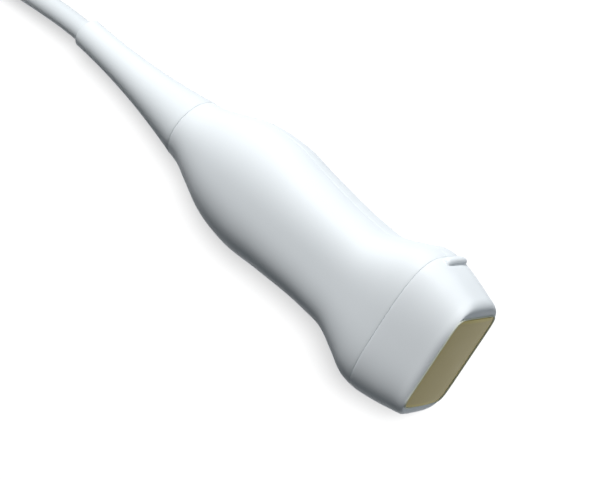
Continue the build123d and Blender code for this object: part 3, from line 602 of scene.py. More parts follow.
@dataclass(frozen=True)
class LensSilicone(Finish):
    """The lens's tan silicone, a little lighter and yellower along its border."""

    middle: Colour
    border: Colour
    half_width: float
    half_height: float
    border_width: float
    border_blur: float = 0.25
    roughness: Span = (0.44, 0.6)
    mottle_scale: float = 140.0
    specular: float = 0.3

    def fill(self, sheet: NodeSheet, shader: bpy.types.Node) -> None:
        """Adds the lighter border, the roughness and a fine texture.

        Args:
            sheet: Where nodes are added.
            shader: The shader.
        """
        place = sheet.add("ShaderNodeTexCoord").outputs["Object"]
        centre = sheet.add("ShaderNodeMapping")
        centre.inputs["Location"].default_value = -FRAME.point(-FRAME.joint_x, 0, 0)
        sheet.link(place, centre.inputs["Vector"])
        parts = sheet.add("ShaderNodeSeparateXYZ")
        sheet.link(centre.outputs["Vector"], parts.inputs[0])
        beyond = []
        for axis, half in (("Y", self.half_width), ("Z", self.half_height)):
            reach = sheet.math("ABSOLUTE", parts.outputs[axis])
            beyond.append(sheet.math("SUBTRACT", reach, (half - self.border_width) * MM))
        edge = sheet.math("MAXIMUM", *beyond)
        blur = self.border_blur * MM
        mask = sheet.remap(edge, (-blur, blur), UNIT)
        sheet.link(sheet.mix(mask, self.middle, self.border), shader.inputs["Base Color"])
        scale, depth = MouldGrain.SATIN.value
        group = sheet.add("ShaderNodeGroup", node_tree=GROUPS.grain)
        group.inputs["Grain Scale"].default_value = scale
        group.inputs["Mottle Scale"].default_value = self.mottle_scale
        sheet.link(sheet.remap(group.outputs["Mottle"], UNIT, self.roughness), shader.inputs["Roughness"])
        sheet.bump(group.outputs["Grain"], depth, shader)
        shader.inputs["Specular IOR Level"].default_value = self.specular


@dataclass(frozen=True)
class Woven(Finish):
    """A woven strap."""

    colour: Colour
    shade: Colour
    thread_scale: float = 5200.0
    thread_depth: float = 0.00015
    roughness: Span = (0.95, 0.75)
    sheen: float = 0.25

    def fill(self, sheet: NodeSheet, shader: bpy.types.Node) -> None:
        """Adds the threads' colours, roughness and height.

        Args:
            sheet: Where nodes are added.
            shader: The shader.
        """
        group = sheet.add("ShaderNodeGroup", node_tree=GROUPS.weave)
        group.inputs["Thread Scale"].default_value = self.thread_scale
        sheet.link(sheet.mix(group.outputs["Shade"], self.shade, self.colour), shader.inputs["Base Color"])
        sheet.link(sheet.remap(group.outputs["Height"], UNIT, self.roughness), shader.inputs["Roughness"])
        sheet.bump(group.outputs["Height"], self.thread_depth, shader)
        shader.inputs["Sheen Weight"].default_value = self.sheen


SHELL_WHITE = Moulded(
    "shell_white", (0.83, 0.87, 0.895), (0.80, 0.842, 0.868), (0.40, 0.50), mottle_scale=45.0
)
NOSE_WHITE = Moulded(
    "nose_white", (0.84, 0.88, 0.905), (0.81, 0.85, 0.876), (0.34, 0.42), mottle_scale=45.0
)
BOOT_WHITE = Moulded(
    "boot_white", (0.81, 0.85, 0.875), (0.77, 0.815, 0.84), (0.52, 0.60), MouldGrain.RUBBED
)
CABLE_WHITE = Moulded(
    "cable_white", (0.73, 0.768, 0.79), (0.69, 0.732, 0.755), (0.46, 0.55), MouldGrain.RUBBED
)
SEAL_CREAM = Moulded("seal_cream", (0.80, 0.83, 0.70), (0.76, 0.79, 0.66), (0.45, 0.55))
GASKET_GREY = Moulded("gasket_grey", (0.42, 0.44, 0.45), (0.38, 0.40, 0.41), (0.6, 0.7))
CONNECTOR_GREY = Moulded(
    "connector_grey", (0.60, 0.63, 0.64), (0.56, 0.59, 0.60), (0.50, 0.60), MouldGrain.FINE
)
LEVER_GREY = Moulded("lever_grey", (0.10, 0.11, 0.12), (0.085, 0.093, 0.10), (0.45, 0.55), MouldGrain.FINE)
CONTACT_BLACK = Moulded(
    "contact_black", (0.025, 0.025, 0.028), (0.02, 0.02, 0.022), (0.40, 0.50), MouldGrain.FINE
)
PIN_GOLD = Moulded("pin_gold", (0.80, 0.60, 0.25), (0.74, 0.54, 0.21), (0.22, 0.35), metallic=1.0)
SCREW_STEEL = Moulded("screw_steel", (0.60, 0.60, 0.61), (0.52, 0.52, 0.53), (0.28, 0.42), metallic=1.0)
FRAME_ALUMINIUM = Moulded(
    "frame_aluminium", (0.72, 0.73, 0.75), (0.65, 0.66, 0.68), (0.30, 0.42), metallic=1.0
)
MATCHING_AMBER = Moulded("matching_amber", (0.40, 0.24, 0.09), (0.34, 0.20, 0.07), (0.5, 0.6))
PIEZO_CREAM = Moulded("piezo_cream", (0.66, 0.60, 0.44), (0.60, 0.54, 0.39), (0.6, 0.7))
BACKING_GREY = Moulded("backing_grey", (0.10, 0.10, 0.11), (0.08, 0.08, 0.09), (0.6, 0.7))
FLEX_AMBER = Moulded("flex_amber", (0.50, 0.22, 0.03), (0.43, 0.18, 0.02), (0.25, 0.35))
BOARD_GREEN = Moulded("board_green", (0.02, 0.16, 0.06), (0.015, 0.13, 0.05), (0.3, 0.45))
HEADER_BLACK = Moulded("header_black", (0.02, 0.02, 0.022), (0.016, 0.016, 0.018), (0.4, 0.5))
INDUCTOR_GREY = Moulded("inductor_grey", (0.12, 0.12, 0.13), (0.09, 0.09, 0.10), (0.5, 0.6))
HARNESS_BLUE = Moulded("harness_blue", (0.20, 0.30, 0.48), (0.16, 0.25, 0.42), (0.4, 0.5))
TIE_GREY = Woven("tie_grey", (0.075, 0.08, 0.09), (0.03, 0.033, 0.038))

HIDDEN_FINISHES = (
    MATCHING_AMBER, PIEZO_CREAM, BACKING_GREY, FLEX_AMBER, FRAME_ALUMINIUM, SCREW_STEEL, BOARD_GREEN,
    HEADER_BLACK, INDUCTOR_GREY, HARNESS_BLUE, PIN_GOLD, CABLE_WHITE,
)

CABLE_END_NODES = ("contact_pins", "connector_board", "lock_shaft", "connector_screws")


class Bench:
    """Makes pieces of finished meshes, dresses them and puts them on the frame."""

    def __init__(self) -> None:
        """Starts with no material made."""
        self.materials: dict[str, bpy.types.Material] = {}

    def material_of(self, finish: Finish) -> bpy.types.Material:
        """Finds a finish's material, made the first time that it is asked for.

        Args:
            finish: The finish.

        Returns:
            Its material.
        """
        if finish.name not in self.materials:
            self.materials[finish.name] = finish.material()
        return self.materials[finish.name]

    def dress(self, piece: bpy.types.Object, finish: Finish) -> None:
        """Gives a piece one finish all over.

        Args:
            piece: The piece.
            finish: The finish.
        """
        if piece.data.materials:
            piece.data.materials.clear()
        piece.data.materials.append(self.material_of(finish))

    def put(
        self, name: str, mesh: bmesh.types.BMesh, finish: Finish, body: Body, *nodes: str
    ) -> bpy.types.Object:
        """Turns a mesh into a piece that rides on a body.

        Args:
            name: The piece's name.
            mesh: Its shape, which is freed.
            finish: Its finish.
            body: The body that it rides on.
            nodes: CAD nodes that it stands for.

        Returns:
            The new piece.
        """
        data = as_data(mesh, name)
        data.shade_smooth()
        data.set_sharp_from_angle(angle=math.radians(SMOOTH_ANGLE))
        piece = new_object(name, data)
        self.dress(piece, finish)
        self.seat(piece, finish, body, *nodes)
        LOG.info("%s: %d faces", name, len(data.polygons))
        return piece

    def seat(self, piece: bpy.types.Object, finish: Finish, body: Body, *nodes: str) -> None:
        """Makes a piece ride on a body and hides the nodes that it stands for.

        Args:
            piece: The piece.
            finish: Its finish; not used.
            body: The body that it rides on.
            nodes: CAD nodes that it stands for.
        """
        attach(piece, body.value)
        if nodes:
            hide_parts(*nodes)


@dataclass(frozen=True)
class Station:
    """A named place along the outline, with the full width and thickness there."""

    x: float
    width: float
    thickness: float


@dataclass
class Outline:
    """The outer form of handle and nosepiece, smooth through its stations."""

    lead: Station = Station(-4.0, 16.0, 16.0)
    joint: Station = Station(0.0, 17.4, 17.4)
    neck: Station = Station(3.0, 18.4, 17.9)
    swell: Station = Station(9.0, 23.2, 20.4)
    cheek: Station = Station(16.0, 28.8, 23.4)
    bulge: Station = Station(28.0, 32.2, 25.1)
    grip: Station = Station(40.0, 30.0, 24.4)
    waist: Station = Station(57.0, 28.0, 23.6)
    flare: Station = Station(64.0, 28.8, 24.0)
    rise: Station = Station(70.0, 34.2, 24.7)
    brow: Station = Station(75.0, 39.2, 25.0)
    parting: Station = Station(79.0, 40.0, 24.7)
    cheekbone: Station = Station(85.0, 38.2, 23.0)
    tip: Station = Station(91.4, 34.9, 20.6)
    round_squareness: float = 2.0
    tip_squareness: float = 3.4
    stations: list[Station] = field(init=False)

    def __post_init__(self) -> None:
        """Puts the stations in order."""
        self.stations = [
            self.lead, self.joint, self.neck, self.swell, self.cheek, self.bulge, self.grip, self.waist,
            self.flare, self.rise, self.brow, self.parting, self.cheekbone, self.tip,
        ]

    def _slope(self, index: int, name: str) -> float:
        """Slope of a size at a station, from the runs on both sides.

        Args:
            index: The station's number.
            name: The Station field to read.

        Returns:
            The slope.
        """
        runs = []
        slopes = []
        for low, high in zip(self.stations[max(index - 1, 0):], self.stations[max(index, 1):index + 2]):
            runs.append(high.x - low.x)
            slopes.append((getattr(high, name) - getattr(low, name)) / runs[-1])
        if len(runs) == 1:
            return slopes[0]
        return (slopes[0] * runs[1] + slopes[1] * runs[0]) / sum(runs)

    def size(self, x: float, name: str) -> float:
        """The outline's width or thickness at a place.

        Args:
            x: The place along the axis.
            name: The Station field to read.

        Returns:
            The full size there.
        """
        index = 0
        while index < len(self.stations) - 2 and x > self.stations[index + 1].x:
            index += 1
        low, high = self.stations[index], self.stations[index + 1]
        run = high.x - low.x
        share = (x - low.x) / run
        rest = 1 - share
        ends = rest ** 2 * (1 + 2 * share) * getattr(low, name)
        ends += share ** 2 * (1 + 2 * rest) * getattr(high, name)
        bends = rest * self._slope(index, name) - share * self._slope(index + 1, name)
        return ends + run * share * rest * bends

    def ring(self, x: float, inset: float = 0.0) -> Ring:
        """The cross-section at a place.

        Args:
            x: The place along the axis.
            inset: How far inside the outline it is drawn.

        Returns:
            The cross-section.
        """
        square = self.round_squareness
        square += (self.tip_squareness - square) * max(x, 0.0) / self.tip.x
        return Ring(x, self.size(x, "width") / 2 - inset, self.size(x, "thickness") / 2 - inset, square)

    def rings(self, start: float, end: float, spacing: float, inset: float = 0.0) -> list[Ring]:
        """Evenly spaced cross-sections from one place to another."""
        count = max(1, round(abs(end - start) / spacing))
        return [self.ring(start + (end - start) * step / count, inset) for step in range(count + 1)]


OUTLINE = Outline()


@dataclass
class Handle:
    """The handle's two half shells, with a fine seam along both sides."""

    wall: float = 2.0
    front_gap: float = 0.08
    front_round: float = 0.12
    seam_gap: float = 0.03
    seam_round: float = 0.22
    ring_spacing: float = 1.0
    segments: int = 144

    def shell(self, side: Side) -> bmesh.types.BMesh:
        """One half of the handle, closed all round.

        Args:
            side: Which half.

        Returns:
            The half shell.
        """
        end = OUTLINE.parting.x - self.front_gap
        outer = OUTLINE.rings(0.0, end, self.ring_spacing)
        inner = OUTLINE.rings(end, 0.0, self.ring_spacing, self.wall)
        mesh = ring_loft(outer + inner, self.segments, closed=True)
        normal = Vector((0, 0, side.value))
        everything = [*mesh.verts, *mesh.edges, *mesh.faces]
        bmesh.ops.bisect_plane(
            mesh, geom=everything, dist=CUT, plane_co=FRAME.point(0, 0, side.value * self.seam_gap),
            plane_no=normal, clear_inner=True,
        )
        close_ends(mesh)
        front = FRAME.point(end, 0, 0).x - HAIR
        at_front = [edge for edge in sharp_edges(mesh) if min(vert.co.x for vert in edge.verts) > front]
        soften(mesh, at_front, self.front_round)
        soften(mesh, sharp_edges(mesh), self.seam_round)
        return mesh

    def build(self, bench: Bench) -> None:
        """Puts both shells on the frame.

        Args:
            bench: Where pieces are made.
        """
        for side in Side:
            name = f"handle_{side.name.lower()}"
            bench.put(name, self.shell(side), SHELL_WHITE, Body.PROBE, f"{name}_shell")


@dataclass
class Window:
    """The lens's window in the nosepiece: half sizes and squareness that lens, bead and rim share."""

    half_width: float = 13.3
    half_height: float = 8.9
    squareness: float = 9.0
    bead: float = 0.35

    def ring(self, x: float, grow: float, crown: float = 0.0) -> Ring:
        """A ring that follows the window.

        Args:
            x: The place along the axis.
            grow: How far outside the window it lies.
            crown: How far its middle bows forward.

        Returns:
            The ring.
        """
        return Ring(
            x, self.half_width + grow, self.half_height + grow, self.squareness,
            crown=crown, crown_up=self.half_height,
        )


WINDOW = Window()


@dataclass
class Nosepiece:
    """The nosepiece with its rounded rim and orientation ridge, and the seal behind it."""

    round_length: float = 3.5
    round_width: float = 2.7
    face_drop: float = 0.97
    face_lead: float = 0.3
    face_power: float = 3.2
    front_squareness: float = 6.0
    round_start: float = 15.0
    round_steps: int = 12
    wall: float = 2.1
    front_wall: float = 3.4
    rim_round: float = 0.1
    ring_spacing: float = 0.8
    segments: int = 192
    ridge_middle: Point = (80.95, 19.5, -0.8)
    ridge_reach: Point = (1.05, 1.5, 4.5)
    ridge_back: float = 1.8
    ridge_squareness: float = 4.0
    ridge_segments: tuple[int, int] = (64, 48)
    ridge_pole: float = 0.001
    bead_height: float = 0.3
    bead_gap: float = 0.02
    bead_steps: int = 6
    gasket_recess: float = 0.4
    gasket_thickness: float = 0.3

    def front_x(self) -> float:
        """Where the flat front of the rim lies."""
        return OUTLINE.tip.x + self.round_length * (1 - math.sin(math.radians(self.round_start)))

    def rim_rings(self) -> list[Ring]:
        """Rings round the front rim, from the tip's side to its flat front.

        Returns:
            The rings in order.
        """
        start = math.radians(self.round_start)
        tip = OUTLINE.ring(OUTLINE.tip.x)
        run = self.front_x() - OUTLINE.tip.x
        rings = []
        for step in range(1, self.round_steps + 1):
            angle = start + (math.pi / 2 - start) * step / self.round_steps
            ahead = self.round_length * (math.sin(angle) - math.sin(start)) / run
            drop = self.face_lead * ahead + (1 - self.face_lead) * ahead ** self.face_power
            square = (step / self.round_steps) ** 2
            rings.append(Ring(
                OUTLINE.tip.x + run * ahead,
                tip.across - self.round_width * (math.cos(start) - math.cos(angle)),
                tip.up - self.face_drop * drop,
                tip.squareness + (self.front_squareness - tip.squareness) * square,
            ))
        return rings

    def shell(self) -> bmesh.types.BMesh:
        """The nosepiece's skin: outside, rim, window and inside.

        Returns:
            The skin.
        """
        back = OUTLINE.parting.x
        front = self.front_x()
        inner_front = front - self.front_wall
        outside = OUTLINE.rings(back, OUTLINE.tip.x, self.ring_spacing)
        window = [WINDOW.ring(front, WINDOW.bead), WINDOW.ring(inner_front, WINDOW.bead)]
        tip = OUTLINE.ring(OUTLINE.tip.x, self.wall)
        inside = [Ring(inner_front, tip.across, tip.up, tip.squareness), OUTLINE.ring(back, self.wall)]
        mesh = ring_loft(outside + self.rim_rings() + window + inside, self.segments, closed=True)
        soften(mesh, sharp_edges(mesh), self.rim_round)
        return mesh

    def ridge(self) -> bmesh.types.BMesh:
        """The mark on the probe's side: a squared-off swelling, steeper towards the lens.

        Returns:
            The ridge.
        """
        mesh = bmesh.new()
        around, along = self.ridge_segments
        bmesh.ops.create_uvsphere(mesh, u_segments=around, v_segments=along, radius=1.0)
        power = self.ridge_squareness
        for vert in mesh.verts:
            height = min(abs(vert.co.z), 1.0)
            round_reach = max(math.hypot(vert.co.x, vert.co.y), self.ridge_pole)
            vert.co.xy *= (1 - height ** power) ** (1 / power) / round_reach
            if vert.co.x < 0:
                vert.co.x *= self.ridge_back / self.ridge_reach[0]
        bmesh.ops.scale(mesh, vec=Vector(self.ridge_reach) * MM, verts=list(mesh.verts))
        bmesh.ops.translate(mesh, vec=FRAME.point(*self.ridge_middle), verts=list(mesh.verts))
        bmesh.ops.remove_doubles(mesh, verts=list(mesh.verts), dist=WELD)
        return mesh

    def gasket(self) -> bmesh.types.BMesh:
        """The seal in the fine groove between handle and nosepiece.

        Returns:
            The seal.
        """
        back = OUTLINE.parting.x - self.gasket_thickness
        front = OUTLINE.parting.x
        rings = [
            OUTLINE.ring(back, self.gasket_recess), OUTLINE.ring(front, self.gasket_recess),
            OUTLINE.ring(front, self.wall), OUTLINE.ring(back, self.wall),
        ]
        return ring_loft(rings, self.segments, closed=True)

    def bead(self) -> bmesh.types.BMesh:
        """The pale bead between the lens and the rim, standing a little proud.

        Returns:
            The bead.
        """
        front = self.front_x()
        back = front - self.front_wall / 2
        middle = WINDOW.bead / 2
        rings = [WINDOW.ring(back, WINDOW.bead - self.bead_gap)]
        for step in range(self.bead_steps + 1):
            angle = math.pi * step / self.bead_steps
            x = front + self.bead_height * math.sin(angle)
            rings.append(WINDOW.ring(x, middle * (1 + math.cos(angle))))
        rings.append(WINDOW.ring(back, self.bead_gap))
        return ring_loft(rings, self.segments, closed=True)

    def build(self, bench: Bench) -> None:
        """Puts the nosepiece's pieces on the frame.

        Args:
            bench: Where pieces are made.
        """
        nose = joined([self.shell(), self.ridge()])
        bench.put("nosepiece", nose, NOSE_WHITE, Body.PROBE, "nose_shell")
        bench.put("nose_seal", self.gasket(), GASKET_GREY, Body.PROBE, "nose_gasket")
        bench.put("lens_bead", self.bead(), SEAL_CREAM, Body.PROBE, "lens_seal")


@dataclass
class Lens:
    """The crowned silicone lens."""

    crown: float = 0.6
    depth: float = 3.3
    edge_round: float = 0.35
    edge_share: float = 0.3
    centre_reach: float = 0.98
    border: float = 0.9
    segments: int = 192
    steps: int = 14
    finish: LensSilicone = field(init=False)

    def __post_init__(self) -> None:
        """Makes the finish for this lens's size."""
        self.finish = LensSilicone(
            "lens_tan", (0.71, 0.59, 0.28), (0.79, 0.665, 0.265),
            WINDOW.half_width, WINDOW.half_height, self.border,
        )

    def build(self, bench: Bench, front: float) -> None:
        """Puts the lens on the frame.

        Args:
            bench: Where pieces are made.
            front: Where the nosepiece's flat front lies.
        """
        cut = self.edge_round * self.edge_share
        rings = [
            WINDOW.ring(front - self.depth, 0.0), WINDOW.ring(front - self.edge_round, 0.0),
            WINDOW.ring(front - cut, -cut, self.crown),
        ]
        for step in range(1, self.steps + 1):
            share = step / self.steps
            inset = self.edge_round + (WINDOW.half_height - self.edge_round) * share * self.centre_reach
            rings.append(WINDOW.ring(front, -inset, self.crown))
        mesh = ring_loft(rings, self.segments)
        close_ends(mesh)
        bench.put("lens", mesh, self.finish, Body.PROBE, "acoustic_lens")


@dataclass
class Boot:
    """The trumpet-shaped bend relief."""

    length: float = 44.0
    base: float = 8.7
    tip: float = 4.2
    bore: float = 3.05
    power: float = 1.95
    edge: float = 0.3
    base_lead: float = 0.2
    base_drop: float = 0.3
    lip_steps: int = 5
    steps: int = 40
    spigot: float = 5.4
    spigot_length: float = 3.0
    segments: int = 96

    def build(self, bench: Bench) -> None:
        """Puts the boot on the frame.

        Args:
            bench: Where pieces are made.
        """
        profile: list[Span] = [(-self.length, self.bore)]
        for step in range(self.lip_steps + 1):
            angle = math.pi / 2 * step / self.lip_steps
            profile.append((
                -self.length + self.edge * (1 - math.cos(angle)), self.tip - self.edge * (1 - math.sin(angle))
            ))
        for step in range(1, self.steps + 1):
            share = step / self.steps
            x = -self.length + self.edge + share * (self.length - 2 * self.edge)
            profile.append((x, self.tip + (self.base - self.tip) * share ** self.power))
        profile.append((-self.edge * self.base_lead, self.base - self.edge * self.base_drop))
        profile.append((0.0, self.base - self.edge))
        profile += [(0.0, self.spigot), (self.spigot_length, self.spigot), (self.spigot_length, self.bore)]
        bench.put("bend_relief", spun(profile, self.segments), BOOT_WHITE, Body.PROBE, "strain_relief_boot")


@dataclass
class Cable:
    """The cable from the boot to the connector, with its spare length folded into a hank."""

    diameter: float = 6.0
    length: float = 2.0
    boot_length: float = 45.0
    route: tuple[Point, ...] = (
        (-25.0, 0.0, 0.0),
        (-46.0, 0.0, 0.0),
        (-66.0, -2.8, -1.2),
        (-86.0, -7.2, -4.4),
        (-104.5, -11.4, -7.4),
        (-121.0, -14.0, -8.7),
    )
    lead: tuple[Point, ...] = (
        (-120.0, -14.0, 15.3),
        (-129.0, -13.8, 15.5),
        (-138.0, -12.3, 17.5),
        (-148.0, -12.0, 18.1),
    )
    near_x: float = -120.0
    far_x: float = -170.0
    middle_y: float = 10.0
    inner: float = 18.0
    outer: float = 24.0
    tie: float = 0.8
    layers: int = 4
    fold_corners: int = 6
    climb_bow: float = 2.4
    round_steps: int = 6
    curve_steps: int = 6
    curve_order: int = 3

    def _turns(self) -> list[Span]:
        """Radius and height of each turn, from the bottom up, and of the last fold on top.

        Returns:
            The (radius, height) pairs.
        """
        floor = -FRAME.axis_z + self.tie
        turns = []
        for layer in range(self.layers):
            z = floor + self.diameter * (layer + 0.5)
            columns = (self.outer, self.inner) if layer % 2 == 0 else (self.inner, self.outer)
            turns += [(radius, z) for radius in columns]
        turns.append((self.outer, floor + self.diameter * (self.layers + 0.5)))
        return turns

    def _fold(self, x: float, radius: float, z: float, away: int) -> list[Point]:
        """Corners of the polygon round one fold, in the order that the cable passes them.

        Args:
            x: The fold's centre.
            radius: The cable's radius there.
            z: The cable's height.
            away: -1 for the far fold and 1 for the near one.

        Returns:
            The corners.
        """
        step = math.pi / self.fold_corners
        reach = radius / math.cos(step / 2)
        corners = []
        for number in range(self.fold_corners):
            angle = step * (number + 0.5)
            y = self.middle_y + away * reach * math.cos(angle)
            corners.append((x + away * reach * math.sin(angle), y, z))
        return corners

    def hank(self) -> list[Point]:
        """Every control point of the hank's turns.

        Returns:
            The points in order.
        """
        turns = self._turns()
        points: list[Point] = []
        for (radius, z), (next_radius, next_z) in zip(turns, turns[1:]):
            points.append((self.far_x, self.middle_y - radius, z))
            points += self._fold(self.far_x, radius, z, -1)
            points.append((self.far_x, self.middle_y + radius, z))
            bow = 0.0
            if next_radius == radius:
                bow = -self.climb_bow if radius == self.inner else self.climb_bow / 2
            middle = self.middle_y + (radius + next_radius) / 2 + bow
            points.append(((self.near_x + self.far_x) / 2, middle, (z + next_z) / 2))
            points.append((self.near_x, self.middle_y + next_radius, next_z))
            points += self._fold(self.near_x, next_radius, next_z, 1)
            if next_z != turns[-1][1]:
                points.append((self.near_x, self.middle_y - next_radius, next_z))
        return points

    def build(self, bench: Bench, pieces: Sequence[bpy.types.Object]) -> None:
        """Lays the cable.

        Args:
            bench: Where pieces are dressed.
            pieces: What is on the cable; not used.
        """
        points = [*self.route, *self.hank(), *self.lead]
        curve = bpy.data.curves.new("cable", "CURVE")
        curve.dimensions = "3D"
        curve.bevel_depth = self.diameter / 2 * MM
        curve.bevel_resolution = self.round_steps
        curve.resolution_u = self.curve_steps
        curve.use_fill_caps = True
        spline = curve.splines.new("NURBS")
        spline.points.add(len(points) - 1)
        for control, point in zip(spline.points, points):
            control.co = (*FRAME.point(*point), 1.0)
        spline.order_u = self.curve_order
        spline.use_endpoint_u = True
        cable = new_object("cable_line", curve)
        bench.dress(cable, CABLE_WHITE)
        bench.seat(cable, CABLE_WHITE, Body.PROBE, "cable", "cable_hank", "connector_lead")
        LOG.info("cable: %d control points", len(points))


def softened_copy(node: str, radius: float) -> bmesh.types.BMesh:
    """A copy of a CAD node's mesh with its sharp edges rounded.

    Args:
        node: The node to copy.
        radius: How far the rounds reach, in millimetres.

    Returns:
        The copy.
    """
    source = frame["nodes"][node]
    mesh = bmesh.new()
    mesh.from_mesh(source.data)
    bmesh.ops.transform(mesh, matrix=source.matrix_world, verts=list(mesh.verts))
    bmesh.ops.remove_doubles(mesh, verts=list(mesh.verts), dist=WELD)
    bmesh.ops.dissolve_limit(
        mesh, angle_limit=math.radians(CAD_FLAT_ANGLE), verts=list(mesh.verts), edges=list(mesh.edges)
    )
    soften(mesh, sharp_edges(mesh, CAD_ROUND_ANGLE), radius)
    return mesh


@dataclass
class Strap:
    """The woven strap round the hank, with its free end pressed down on one side."""

    x: float = -164.0
    width: float = 10.0
    thickness: float = 0.8
    half_across: float = 27.0
    half_up: float = 12.0
    middle_y: float = 10.0
    squareness: float = 15.0
    edge_round: float = 0.25
    end_width: float = 9.0
    end_height: Span = (-7.0, 6.5)
    end_corner: float = 2.4
    end_corner_faces: int = 6
    bulge: float = 0.8
    bulge_y: Span = (25.0, 31.0)
    segments: int = 160

    def _bulge(self, loop: bmesh.types.BMesh, middle_z: float) -> None:
        """Lifts the loop's top where the cable under it starts to climb.

        Args:
            loop: The strap's loop.
            middle_z: The loop's middle height.
        """
        middle = FRAME.point(0, 0, middle_z).z
        for vert in loop.verts:
            height = max((vert.co.z - middle) / (self.half_up * MM), 0.0)
            share = (vert.co.y / MM - self.bulge_y[0]) / (self.bulge_y[1] - self.bulge_y[0])
            share = min(max(share, 0.0), 1.0)
            vert.co.z += self.bulge * MM * share ** 2 * (3 - 2 * share) * height ** 2

    def build(self, bench: Bench) -> bpy.types.Object:
        """Puts the strap on the frame.

        Args:
            bench: Where pieces are made.

        Returns:
            The strap.
        """
        middle_z = self.half_up + self.thickness - FRAME.axis_z
        rings = []
        for side, grow in ((-1, 0.0), (-1, self.thickness), (1, self.thickness), (1, 0.0)):
            rings.append(Ring(
                self.x + side * self.width / 2, self.half_across + grow, self.half_up + grow,
                self.squareness, self.middle_y, middle_z,
            ))
        loop = ring_loft(rings, self.segments, closed=True)
        self._bulge(loop, middle_z)
        soften(loop, sharp_edges(loop), self.edge_round)
        outside = self.middle_y + self.half_across + self.thickness
        half = self.end_width / 2
        end = block(
            (self.x - half, self.x + half), (outside - self.thickness / 2, outside + self.thickness / 2),
            self.end_height,
        )
        soften(end, edges_along(end, 1), self.end_corner, self.end_corner_faces)
        soften(end, sharp_edges(end), self.edge_round)
        return bench.put("hank_strap", joined([loop, end]), TIE_GREY, Body.PROBE, "cable_tie")


@dataclass
class SystemConnector:
    """The connector's case, plug and cable boot, and the rotary lock on top."""

    middle: Span = (-183.0, 2.0)
    rear: float = -155.0
    boot_y: float = -12.0
    boot_z: float = 18.05
    boot_length: float = 15.0
    boot_base: float = 4.8
    boot_tip: float = 3.9
    boot_bore: float = 3.05
    boot_ribs: int = 6
    boot_groove: float = 0.45
    boot_round: float = 0.15
    boot_segments: int = 48
    case_round: float = 0.22
    plug_round: float = 0.3
    knob: Span = (35.35, 38.35)
    knob_radius: float = 11.0
    knob_faces: int = 90
    knob_notch: float = 0.45
    knob_side: float = 0.5
    knob_round: float = 0.12
    notch_every: int = 3
    notch_border: float = 0.06
    notch_angle: float = 70.0
    grip_length: float = 20.0
    grip_width: float = 6.0
    grip_height: float = 6.0
    grip_root: float = 0.3
    grip_fullness: float = 0.96
    grip_end_faces: int = 10
    grip_round: float = 1.2
    grip_round_faces: int = 4
    mark_length: float = 5.0
    mark_width: float = 0.9
    mark_height: float = 0.06

    def boot(self) -> bmesh.types.BMesh:
        """The ribbed sleeve where the cable enters.

        Returns:
            The sleeve.
        """
        half_pitch = self.boot_length / (2 * self.boot_ribs - 1)
        taper = (self.boot_base - self.boot_tip) / self.boot_length
        profile: list[Span] = [(self.rear, self.boot_bore)]
        for rib in range(self.boot_ribs):
            start = 2 * rib * half_pitch
            for along in (start, start + half_pitch):
                profile.append((self.rear + along, self.boot_base - taper * along))
            if rib < self.boot_ribs - 1:
                x, radius = profile[-1]
                profile += [(x, radius - self.boot_groove), (x + half_pitch, radius - self.boot_groove)]
        profile.append((self.rear + self.boot_length, self.boot_bore))
        mesh = spun(profile, self.boot_segments, self.boot_y, self.boot_z)
        soften(mesh, sharp_edges(mesh), self.boot_round)
        return mesh

    def lever(self) -> bmesh.types.BMesh:
        """The lock's notched knob and its finger grip, with a pale position mark.

        Returns:
            The knob, with its mark in the second material.
        """
        x, y = self.middle
        knob = pillar(self.knob, self.knob_radius, x, y, self.knob_faces)
        centre = FRAME.point(x, y, 0)
        rim = [face for face in knob.faces if abs(face.normal.z) < self.knob_side]
        rim.sort(key=lambda face: math.atan2(
            face.calc_center_median().y - centre.y, face.calc_center_median().x - centre.x
        ))
        bmesh.ops.inset_individual(
            knob, faces=rim[::self.notch_every], thickness=self.notch_border * MM, depth=-self.knob_notch * MM
        )
        soften(knob, sharp_edges(knob, self.notch_angle), self.knob_round)
        half_length = self.grip_length / 2
        half_width = self.grip_width / 2
        top = self.knob[1] + self.grip_height
        grip = block(
            (x - half_length, x + half_length), (y - half_width, y + half_width),
            (self.knob[1] - self.grip_root, top),
        )
        soften(grip, edges_along(grip, 2), half_width * self.grip_fullness, self.grip_end_faces)
        level = FRAME.point(0, 0, top).z - HAIR
        upper = [edge for edge in sharp_edges(grip) if edge.verts[0].co.z > level]
        soften(grip, upper, self.grip_round, self.grip_round_faces)
        start = x - half_length + self.grip_round
        mark = block(
            (start, start + self.mark_length), (y - self.mark_width / 2, y + self.mark_width / 2),
            (top - self.mark_height, top + self.mark_height),
        )
        soften(mark, sharp_edges(mark), self.mark_height / 2, segments=1)
        for face in mark.faces:
            face.material_index = 1
        return joined([knob, grip, mark])

    def build(self, bench: Bench) -> list[bpy.types.Object]:
        """Puts the connector on the frame.

        Args:
            bench: Where pieces are made.

        Returns:
            The pieces made here.
        """
        pieces = []
        for side in ("lower", "upper"):
            node = f"connector_{side}_shell"
            shell = softened_copy(node, self.case_round)
            pieces.append(bench.put(f"case_{side}", shell, CONNECTOR_GREY, Body.PROBE, node))
        plug = softened_copy("contact_block", self.plug_round)
        pieces.append(bench.put("plug", plug, CONTACT_BLACK, Body.PROBE, "contact_block"))
        for piece in pieces:
            shading = piece.modifiers.new("even_shading", "WEIGHTED_NORMAL")
            shading.keep_sharp = True
        pieces.append(bench.put("connector_sleeve", self.boot(), LEVER_GREY, Body.PROBE, "connector_boot"))
        lever = bench.put("lock_knob", self.lever(), LEVER_GREY, Body.LOCK, "lock_lever")
        lever.data.materials.append(bench.material_of(CABLE_WHITE))
        pieces.append(lever)
        return pieces


